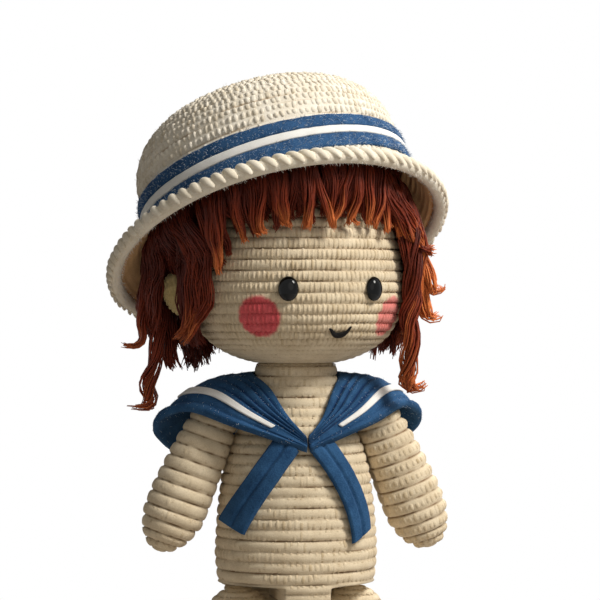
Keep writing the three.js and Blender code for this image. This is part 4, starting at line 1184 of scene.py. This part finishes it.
# Hair. Most locks are placed as they are seen from the photographed side: how far to the right
# of the head's axis, how far towards the eye, and how far above the chin.
VIEW_TURN = math.radians(21)
PROFILE_SPOTS = (0, 0.3, 0.72, 0.92, 1)
THREAD_PROFILE = (1.1, 1, 1, 0.9, 0.4)
LOOSE_PROFILE = (0.75, 1, 1.05, 0.7, 0.4)
BLUNT_PROFILE = (0.75, 1, 1.1, 1.25, 0.5)
CAP_SQUEEZE = CROWN_INNER - GAP


def seen(across, towards, height):
    """A place as it is seen from the photographed side, in the head's frame."""
    sine, cosine = math.sin(VIEW_TURN), math.cos(VIEW_TURN)
    return [across * cosine - towards * sine, -across * sine - towards * cosine, height]


def around(angle, radius, height):
    """A place at an angle from the face, in the head's frame."""
    turn = math.radians(angle)
    return [radius * math.sin(turn), -radius * math.cos(turn), height]


def on_cap(angle, height, out):
    """A place on the hair under the hat, at an angle from the face and a height in the hat's frame."""
    turn = math.radians(angle)
    ring = math.sqrt(CAP_RADIUS**2 - height**2) + out
    place = Vector((ring * math.sin(turn), -ring * math.cos(turn), height))
    return list(CAP_CENTRE + HAT_LEAN.to_3x3() @ place)


def falls(angle, out=0.0):
    """The start of a lock, from under the hat's brim to the edge of the cap."""
    return [on_cap(angle, 23, -2.4), on_cap(angle, 18, 0.2 + out), on_cap(angle, 13, 0.4 + out)]


def clump(route, wide=1.7, threads=12, twist=0.8, fray=0.5, thick=0.3, blunt=False, glow=1.0, wave=0.3):
    """What laid_threads needs to lay one lock of threads along a route."""
    # The glow is how much painted light the lock's ends take; shaded locks take less.
    profile = BLUNT_PROFILE if blunt else LOOSE_PROFILE
    return {
        "route": np.array(route, dtype=float), "wide": wide, "threads": threads, "twist": twist, "fray": fray,
        "thick": thick, "profile": profile, "glow": glow, "wave": wave,
    }


def mass(first, last, count, rng, stray=1.0, shorter=4.0, **look):
    """Clumps spread between two routes, each a little astray and of its own length."""
    first, last = np.array(first, dtype=float), np.array(last, dtype=float)
    made = []
    for k in range(count):
        part = (k + rng.uniform(-0.3, 0.3)) / max(count - 1, 1)
        route = first + (last - first) * part
        drift = np.clip(np.arange(len(route)) - 1, 0, None)[:, None] / (len(route) - 2)
        route = route + drift**0.7 * rng.normal(0, stray, (len(route), 3)) * 0.6
        route[2:] += drift[2:] * rng.normal(0, stray, 3) * 0.5
        route[-1, 2] += abs(rng.normal(0, shorter))
        route[-2, 2] = max(route[-2, 2], route[-1, 2] + 2.5)
        twist = rng.uniform(0.4, 1.8) * rng.choice([-1, 1])
        made.append(clump(route, wide=rng.uniform(1.45, 2.0), twist=twist, fray=rng.uniform(0.4, 1.0), **look))
    return made


def wound(route, count, reach, laps, start=0.0, **look):
    """Clumps that wind round one another along a route."""
    path = smooth_curve(route, 34)
    share = np.linspace(0, 1, len(path))
    side = np.array(seen(1, 0, 0)) - np.array(seen(0, 0, 0))
    out = np.array(seen(0, 1, 0)) - np.array(seen(0, 0, 0))
    made = []
    for k in range(count):
        turn = start + TURN * (k / count + laps * share)
        far = reach * np.clip(share / 0.25, 0.3, 1) * np.clip((1.12 - share) / 0.2, 0, 1)
        offset = far[:, None] * (np.cos(turn)[:, None] * side + np.sin(turn)[:, None] * out)
        made.append(clump(path + offset, **look))
    return made


def laid_threads(clumps, seed, steps, sides):
    """The tubes of many threads, laid together clump by clump, with a tint and a tip share for each point, the tip
    share being painted light from a shaded root to a lit end.
    """
    rng = np.random.default_rng(seed)
    share = np.linspace(0, 1, steps)
    paths, radii, tints, shade_to_light = [], [], [], []
    for one in clumps:
        path = smooth_curve(one["route"], 90)
        length = chord_lengths(path)
        spots = share * length[-1]
        tangents = unit(np.gradient(sampled(path, length, spots), axis=0))
        (side,), (out,) = carried(tangents[None])
        swing, sway = (
            one["wave"] * np.sin(spots / rng.uniform(2.2, 3.4) + rng.uniform(0, TURN)) * np.clip(share * 3, 0, 1)
            for _ in range(2)
        )
        profile = one["wide"] * np.interp(share, PROFILE_SPOTS, one["profile"])
        shade = rng.uniform(0, 0.45)
        for k in range(one["threads"]):
            inner = k % 4 == 3
            turn = k / one["threads"] * TURN + one["twist"] * share * math.pi + rng.uniform(-0.25, 0.25)
            far = profile * (0.45 if inner else rng.uniform(0.84, 1.0))
            wander = 0.12 * np.sin(share * rng.uniform(4, 9) + rng.uniform(0, TURN))
            end = np.clip((share - 0.86) / 0.14, 0, 1) ** 2
            loose = one["fray"] * rng.normal(0, 1, 3)
            cut = rng.uniform(0.93, 1.0)
            place = sampled(path, length, spots * cut) + side * (far * np.cos(turn) + wander + swing)[:, None]
            place = place + out * (far * np.sin(turn) + sway)[:, None]
            place = place + end[:, None] * loose * np.array([1, 1, 0.5])
            paths.append(place)
            radii.append(one["thick"] * rng.uniform(0.85, 1.2) * np.interp(share, PROFILE_SPOTS, THREAD_PROFILE))
            tints.append(np.clip(shade + rng.normal(0, 0.16), 0, 0.9))
            # Painted light: each thread goes from a dark shaded root to a lit orange end, as far as its lock's glow
            # reaches.
            shade_to_light.append(np.clip(one["glow"] * (share**1.8 + rng.normal(0, 0.09)), 0, 1))
    points, faces, each = tubes(np.array(paths), np.array(radii), sides)
    along = np.repeat(np.array(shade_to_light), sides, axis=1)
    along = np.concatenate([along, along[:, :1], along[:, -1:]], axis=1)
    return points, faces, np.repeat(tints, each), along.ravel()


def hair_piece(name, replaced, masses, curls=None):
    """One mesh of the masses of hair and the curls at their ends, which take more rings."""
    points, faces, tint, tip = laid_threads(*masses, sides=4)
    if curls is not None:
        more = laid_threads(*curls, steps=28, sides=5)
        faces += [[corner + len(points) for corner in face] for face in more[1]]
        pairs = (points, more[0]), (tint, more[2]), (tip, more[3])
        points, tint, tip = (np.concatenate(pair) for pair in pairs)
    # The tip share is painted light: dark shaded roots and lit orange ends.
    hair = piece(name, points, faces, AUBURN, tint=tint, tip=tip)
    return finished(hair, HEAD, "head", [replaced])


# The fringe: where its ends hang, the angles that its locks gather at, and for each layer how
# many locks it has, how far it stands off the head and how much painted light turns its tips orange.
FRINGE_ANGLES = (-64.5, -58.7, -53.8, -42.7, -25.4, 1.3, 24.6, 58)
FRINGE_ENDS = (31, 36, 43.3, 47.4, 48.5, 51.4, 50, 45.5)
FRINGE_GROUPS = np.array([-61, -50, -38, -27, -16, -3, 9, 22, 33, 46, 58])
FRINGE_LAYERS = ((28, 3.0, 1.0), (30, 0.7, 0.6), (34, 1.6, 0.4))
FRINGE_START, FRINGE_SPAN = -66, 131


def fringe_clumps():
    rng = np.random.default_rng(140)
    made = []
    for layer, (count, stand, glow) in enumerate(FRINGE_LAYERS):
        front = layer == 0
        for k in range(count):
            angle = FRINGE_START + FRINGE_SPAN * k / (count - 1) + rng.normal(0, 0.9)
            gather = FRINGE_GROUPS[np.argmin(np.abs(FRINGE_GROUPS - angle))]
            foot = angle + (gather - angle) * (0.6 if front else 0.15) + rng.normal(0, 1.2)
            low = np.interp(foot, FRINGE_ANGLES, FRINGE_ENDS) + rng.normal(0.3, 1.1)
            low += 0 if front else rng.uniform(1.5, 6)
            held = min((angle + 2) / 1.18 + rng.normal(0, 2.2), 12 + 0.52 * angle)
            out = -6.0 * np.clip((angle - 5) / 40, 0, 1) - (0 if front else 1.2)
            start = falls(held, out)
            x, y, edge = start[-1]
            edge_reach, edge_angle = math.hypot(x, y), math.degrees(math.atan2(x, -y))
            reach = float(head_half(np.array(low))) + stand - 0.4
            hook = rng.choice([-1, 1, 1]) * rng.uniform(0.8, 3.2)
            route = start + [
                around((edge_angle + foot) / 2, (edge_reach + reach) / 2 + 1.3, (edge + low) / 2),
                around(foot, reach + 0.2, low + 2.0),
                around(foot + 0.5 * hook, reach + 0.6, low),
                around(foot + hook, reach + 1.1, low + 0.35 * abs(hook)),
            ]
            twist = rng.uniform(-1.2, 1.2)
            wide = rng.uniform(1.15, 1.75)
            look = {"fray": rng.uniform(0.25, 0.7), "glow": glow, "wave": 0.4, "threads": 14 if front else 12}
            made.append(clump(route, wide=wide, twist=twist, **look))
    return made


def right_clumps():
    rng = np.random.default_rng(160)
    made = mass(
        falls(-112) + [seen(-56, -6, 32), seen(-57.5, -5, 22), seen(-57, -5, 14), seen(-54, -2, 8)],
        falls(-86) + [seen(-50, 12, 36), seen(-51.3, 9, 27), seen(-51.3, 7, 17), seen(-50, 6, 10)],
        14, rng, glow=0.4, wave=0.7,
    )
    made += mass(
        falls(-114, -3) + [seen(-52, -8, 28), seen(-52.5, -8, 18), seen(-51, -6, 6), seen(-50, -4, 2)],
        falls(-98, -3) + [seen(-47, -6, 30), seen(-46, -8, 20), seen(-45, -8, 10), seen(-44.5, -6, 2)],
        11, rng, glow=0.2, wave=0.6,
    )
    made += mass(
        falls(-64, -1) + [
            seen(-33, 33, 44), seen(-30.8, 30, 33), seen(-32, 27, 21), seen(-36.5, 23, 13), seen(-41.5, 20, 8.5),
        ],
        falls(-74, -1) + [
            seen(-39, 29, 44), seen(-38, 25, 33), seen(-38.6, 22, 21), seen(-40.6, 20, 13.5), seen(-44.4, 19, 9.5),
        ],
        7, rng, stray=0.5, shorter=1.0, glow=0.8, wave=0.8,
    )
    made += mass(
        falls(-72) + [seen(-41, 24, 44), seen(-40.5, 14, 37), seen(-40, 6, 32), seen(-39.5, 2, 26)],
        falls(-88) + [seen(-49.5, 12, 42), seen(-48.6, 5, 37), seen(-47.5, 0, 33), seen(-46.5, -3, 27)],
        10, rng, stray=0.5, shorter=1, glow=0.2, wave=0.6,
    )
    made += mass(
        falls(-66, -3) + [
            seen(-33, 27, 46), seen(-34, 21, 34), seen(-36, 16, 22), seen(-38, 12, 14), seen(-40, 10, 8),
        ],
        falls(-84, -3) + [seen(-43, 8, 40), seen(-41, 4, 34), seen(-41, 0, 22), seen(-41, -2, 12), seen(-41, -4, 6)],
        8, rng, stray=0.5, shorter=2, glow=0.1, wave=0.6,
    )
    made += mass(
        falls(-118) + [seen(-48, -14, 24), seen(-43, -14, 8), seen(-41, -12, -4)],
        falls(-150) + [seen(-36, -32, 18), seen(-31, -28, 6), seen(-28, -26, 1)],
        17, rng, glow=0.2, wave=0.6,
    )
    made += mass(
        falls(-98, -3) + [seen(-47, -2, 30), seen(-46.5, -2, 12), seen(-45.5, 0, 1), seen(-43, 2, -4)],
        falls(-104, -3) + [seen(-49, -2, 30), seen(-49, -2, 12), seen(-48, 0, 0), seen(-47, 1, -3)],
        4, rng, stray=0.5, shorter=1.5, glow=0.35,
    )
    made += mass(
        falls(-82, -3) + [around(-80, 43.5, 40), around(-80, 42.6, 26), around(-82, 41, 14), around(-84, 38.5, 6)],
        falls(-98, -3) + [around(-96, 44.5, 40), around(-95, 43.4, 26), around(-95, 41.6, 14), around(-95, 39, 6)],
        10, rng, stray=0.35, shorter=1.5, glow=0.15, wave=0.5,
    )
    curls = []
    for shift in (0, 1.8):
        first = falls(-104) + [
            seen(-56, 1, 28), seen(-57, 1 + shift, 17), seen(-56.5, 2 + shift, 9.5), seen(-60, 2 + shift, 7),
            seen(-64.5, 2 + shift, 7.6 + shift / 3),
        ]
        curls.append(clump(first, wide=1.5, threads=14, twist=1.2, fray=0.8, glow=0.85))
    second = falls(-99, -1) + [
        seen(-52, 2, 30), seen(-50.5, 2, 18), seen(-51.5, 3, 4), seen(-54.6, 3, -6), seen(-53.6, 4, -12.5),
        seen(-55.5, 4, -15.4), seen(-60.3, 4, -15.4),
    ]
    curls += wound(second, 3, 1.7, 2.2, wide=1.3, threads=11, fray=0.7, blunt=True, glow=0.8)
    return made, curls


def left_clumps():
    rng = np.random.default_rng(170)
    made = mass(
        falls(26, -5) + [seen(33.5, 24, 60), seen(39, 19, 51), seen(43.5, 15, 44), seen(46, 13, 41)],
        falls(44, -6.5) + [seen(38.5, 17, 60), seen(43.5, 13, 52), seen(47.5, 10, 45), seen(49.5, 10, 41)],
        9, rng, stray=0.35, shorter=0.6, glow=0.95, wave=0.5,
    )
    made += mass(
        falls(46, -8) + [seen(39.5, 17, 48), seen(41, 14, 34), seen(41, 11, 18), seen(40, 9, 8)],
        falls(84, -6) + [seen(43.5, -2, 46), seen(44.5, -4, 34), seen(43.6, -4, 20), seen(42, -4, 9)],
        14, rng, stray=0.5, shorter=3, glow=0.85, wave=0.7,
    )
    made += mass(
        falls(84, -6) + [seen(42.6, -2, 42), seen(43.6, -3, 30), seen(42, -4, 15), seen(40, -4, 6)],
        falls(110, -3) + [seen(43, -20, 36), seen(42.4, -19, 26), seen(40, -18, 13), seen(37, -17, 4)],
        14, rng, stray=0.6, shorter=3, glow=0.6, wave=0.6,
    )
    made += mass(
        falls(108, -3) + [seen(43, -14, 30), seen(39, -14, 12), seen(37, -13, 4), seen(36, -12, 0)],
        falls(128, -2) + [seen(38, -26, 30), seen(33, -23, 12), seen(30, -20, 5), seen(28, -18, 3)],
        12, rng, glow=0.3, wave=0.6,
    )
    made += mass(
        falls(95, -1) + [around(93, 49, 34), around(93, 49.5, 24), around(94, 47, 12), around(94, 45, 4)],
        falls(124, -1) + [around(121, 51.5, 31), around(120, 51.5, 21), around(120, 48, 9), around(120, 46, 1)],
        13, rng, stray=0.5, shorter=3, glow=0.5, wave=0.6,
    )
    main = falls(48, -7) + [
        seen(42.5, 14, 48), seen(43, 14, 38), seen(42.6, 14, 26), seen(41.2, 14, 17.5), seen(42.2, 13, 8.5),
        seen(41.2, 12, 0), seen(40.6, 12, -5), seen(42.4, 12, -8.2), seen(45.6, 12, -7.6), seen(46.8, 12, -5.4),
    ]
    curls = wound(main, 3, 2.0, 2.8, start=0.6, wide=1.45, threads=14, fray=0.12, thick=0.34, blunt=True, glow=1.0)
    upper = falls(50, -7) + [
        seen(44, 11, 50), seen(46, 11, 42), seen(46.6, 11, 37), seen(48, 11, 31.5), seen(50, 11, 27.6),
        seen(52.4, 11, 27.4), seen(53.6, 11, 29.6),
    ]
    lower = falls(54, -7) + [
        seen(44, 9, 48), seen(45, 10, 36), seen(46, 10, 28), seen(46.6, 10, 22), seen(48.6, 10, 18.2),
        seen(51.6, 10, 17.4), seen(53, 10, 19.4),
    ]
    for route in (upper, lower):
        curls += wound(route, 2, 1.25, 1.6, wide=1.6, threads=16, fray=0.06, thick=0.34, blunt=True, glow=1.7)
    for high, low, lean in ((44.2, 40.6, 1), (41.2, 43.6, -1), (42.6, 42.2, 1)):
        crossing = [seen(44.4, 13 + lean, high), seen(47, 14 + lean, (high + low) / 2), seen(50.4, 12 + lean, low)]
        curls.append(clump(crossing, wide=0.75, threads=8, twist=1.2, fray=0.8, thick=0.26))
    return made, curls


# The hair at the back: the angles that each part lies between, and for each layer how far out it
# starts and how many locks each part has.
BACK_EDGES = ((124, 150), (152, 208), (210, 236))
BACK_LAYERS = ((0, (12, 21, 12)), (-3, (10, 18, 10)))


def make_hair():
    hair_piece("hair_fringe_yarn", "hair_fringe", (fringe_clumps(), 150, 12))
    for side, clumps, seed in (("right", right_clumps(), 171), ("left", left_clumps(), 180)):
        hair_piece(f"hair_{side}_yarn", f"hair_{side}", (clumps[0], seed, 15), (clumps[1], seed + 1))
    rng = np.random.default_rng(185)
    back = []
    for out, counts in BACK_LAYERS:
        for (first, last), count in zip(BACK_EDGES, counts):
            routes = [
                falls(angle, out) + [around(angle, 52.5 + out / 2, 18), around(angle, 47.5 + out / 2, 3)]
                for angle in (first, last)
            ]
            back += mass(*routes, count, rng, glow=0.6)
    hair_piece("hair_back_yarn", "hair_back", (back, 190, 10))
    make_cap()


def make_cap():
    """The hair under the hat, combed down from its crown."""
    low = math.asin(CAP_TRIM / CAP_RADIUS)
    table = [[0, 0, CAP_TRIM, 0, 0], [0, 0, CAP_TRIM, CAP_SQUEEZE - 1, CAP_SQUEEZE - 1]]
    for share in np.linspace(0, 1, 60):
        angle = low + (math.pi / 2 - low) * share
        wide = min(CAP_RADIUS * math.cos(angle), CAP_SQUEEZE) if share < 1 else 0
        table.append([0, 0, CAP_RADIUS * math.sin(angle), wide, wide])
    form = Rounds(table, 360, step=2.4, soften=0)
    turn, spots = form.angle[None, :], form.spots[:, None]
    bend = 0.25 * np.sin(spots * 0.09)
    combed = 0.45 * np.abs(np.sin(45 * (turn + bend))) + 0.25 * np.abs(np.sin(90 * (turn - bend * 0.6) + 1))
    fade = np.clip(form.rings[:, 3] / 14, 0, 1)[:, None]
    grid = form.base + form.normal * ((combed - 0.75) * fade)[..., None]
    pulled = 0.14 * np.exp(-(((turn - math.radians(72)) / 0.7) ** 2)) * np.clip((27 - form.rings[:, 2:3]) / 8, 0, 1)
    grid = grid * np.stack([1 - pulled, 1 - pulled, 1 + 0 * pulled], axis=-1)
    points, faces = closed_grid(grid)
    # Painted shade: the combed grooves of the cap take the darker tone.
    shade = ringed(np.clip(0.95 - 1.7 * combed, 0, 1) * fade)
    streaks = waves(turn, 0.02 * spots, 186, count=12, reach=120)
    # Painted light and shade: the combed ridges go lighter and the grooves darker, with random streaks across them.
    far = ringed(np.clip(0.3 * combed + 0.55 * streaks, 0, 1))
    cap = piece("hair_cap_yarn", points, faces, AUBURN, tint=shade, tip=far)
    finished(cap, HAT, "head", ["hair_cap"])


def dress_nodes():
    """Gives the CAD nodes that stay their finishes."""
    for name, obj in frame["nodes"].items():
        if name.endswith("stuffing"):
            look = STUFFING
        elif name.endswith(("joint_post", "joint_washer")) or name.startswith("eye_washer"):
            look = JOINT_PLASTIC
        else:
            continue
        obj.data.materials.clear()
        obj.data.materials.append(look)


# Light, floor and camera. Sizes and places are in metres here.
VIEW_AZIMUTH, VIEW_WIDTH, VIEW_LEVEL, VIEW_SIDE, VIEW_FAR = -10.5, 0.222, 0.184, 0.0015, 0.95
SENSOR, NEAREST = 36, 0.01
AIM_LEVEL = 0.17
FLOOR_HALF, FLOOR_DROP, FLOOR_CORNERS = 0.38, 0.0004, 96
AMBIENT, BACKDROP = ((1, 0.95, 0.88, 1), 0.17), ((1, 1, 1, 1), 1.0)

# Each lamp's size, power, places to the right, towards the camera and up, and colour.
LAMPS = {
    "sun_side": (0.34, 10.6, (0.62, 0.4, 0.65), (1, 0.965, 0.91)),
    "front_fill": (0.8, 1.1, (0.3, 0.9, 0.25), (1, 0.95, 0.88)),
    "back_rim": (0.5, 6, (0.35, -0.6, 0.5), (1, 0.98, 0.95)),
}


def set_up(name, data, place, way):
    """Puts a lamp or the camera at a place, looking a given way."""
    obj = bpy.data.objects.new(name, data)
    obj.location = place
    obj.rotation_euler = way.to_track_quat("-Z", "Y").to_euler()
    bpy.context.scene.collection.objects.link(obj)
    return obj


def lamp(name, size, power, place, colour):
    data = bpy.data.lights.new(name, "AREA")
    data.shape, data.size, data.energy, data.color = "DISK", size, power, colour
    set_up(name, data, place, Vector((AXIS.x * MM, AXIS.y * MM, AIM_LEVEL)) - Vector(place))


def looked_at(tree):
    """One where the camera looks straight on, through a gloss or through something clear, else nought."""
    path = node(tree, "ShaderNodeLightPath")
    camera, glossy, clear = (path.outputs[f"Is {kind} Ray"] for kind in ("Camera", "Glossy", "Transmission"))
    return combined(tree, "MAXIMUM", combined(tree, "MAXIMUM", camera, glossy), clear)


def make_world():
    """A warm, dim surrounding that looks white."""
    world = bpy.data.worlds.new("studio")
    bpy.context.scene.world = world
    world.use_nodes = True
    tree = world.node_tree
    tree.nodes.clear()
    dim, white = (
        node(tree, "ShaderNodeBackground", {"Color": colour, "Strength": strength}).outputs[0]
        for colour, strength in (AMBIENT, BACKDROP)
    )
    mix = node(tree, "ShaderNodeMixShader", {0: looked_at(tree), 1: dim, 2: white})
    node(tree, "ShaderNodeOutputWorld", {0: mix.outputs[0]})


def make_floor():
    """A round floor that looks pale but throws little light back."""
    look = yarn("pale_floor", (0.9, 0.9, 0.89), (0.86, 0.86, 0.85), bump=0.05, sheen=0, tint=False)
    tree = look.node_tree
    base = tree.nodes["Principled BSDF"].inputs["Base Color"]
    shown = looked_at(tree)
    tree.links.new(blended(tree, shown, (0.42, 0.38, 0.34), base.links[0].from_socket), base)
    turn = np.arange(FLOOR_CORNERS) / FLOOR_CORNERS * TURN
    points = [[FLOOR_HALF * math.cos(a), FLOOR_HALF * math.sin(a), -FLOOR_DROP] for a in turn]
    piece("floor", points, [list(range(FLOOR_CORNERS))], look)


def make_studio():
    scene = bpy.context.scene
    scene.view_settings.view_transform = "Standard"
    turn = math.radians(VIEW_AZIMUTH)
    towards = Vector((math.sin(turn), -math.cos(turn), 0))
    rightwards = Vector((math.cos(turn), math.sin(turn), 0))
    aim = Vector((AXIS.x * MM, AXIS.y * MM, VIEW_LEVEL)) + rightwards * VIEW_SIDE
    data = bpy.data.cameras.new("view")
    data.sensor_width, data.lens, data.clip_start = SENSOR, SENSOR * VIEW_FAR / VIEW_WIDTH, NEAREST
    scene.camera = set_up("view", data, aim + towards * VIEW_FAR, -towards)
    for name, (size, power, (right, near, up), colour) in LAMPS.items():
        lamp(name, size, power, aim + rightwards * right + towards * near + Vector((0, 0, up)), colour)
    make_world()
    make_floor()


make_studio()
make_head()
make_eyes()
make_mouth()
make_ears()
make_torso()
make_limbs()
make_hat()
make_edging()
make_bands()
make_collar()
make_ties()
make_hair()
dress_nodes()
bpy.data.objects.remove(FIBRE)
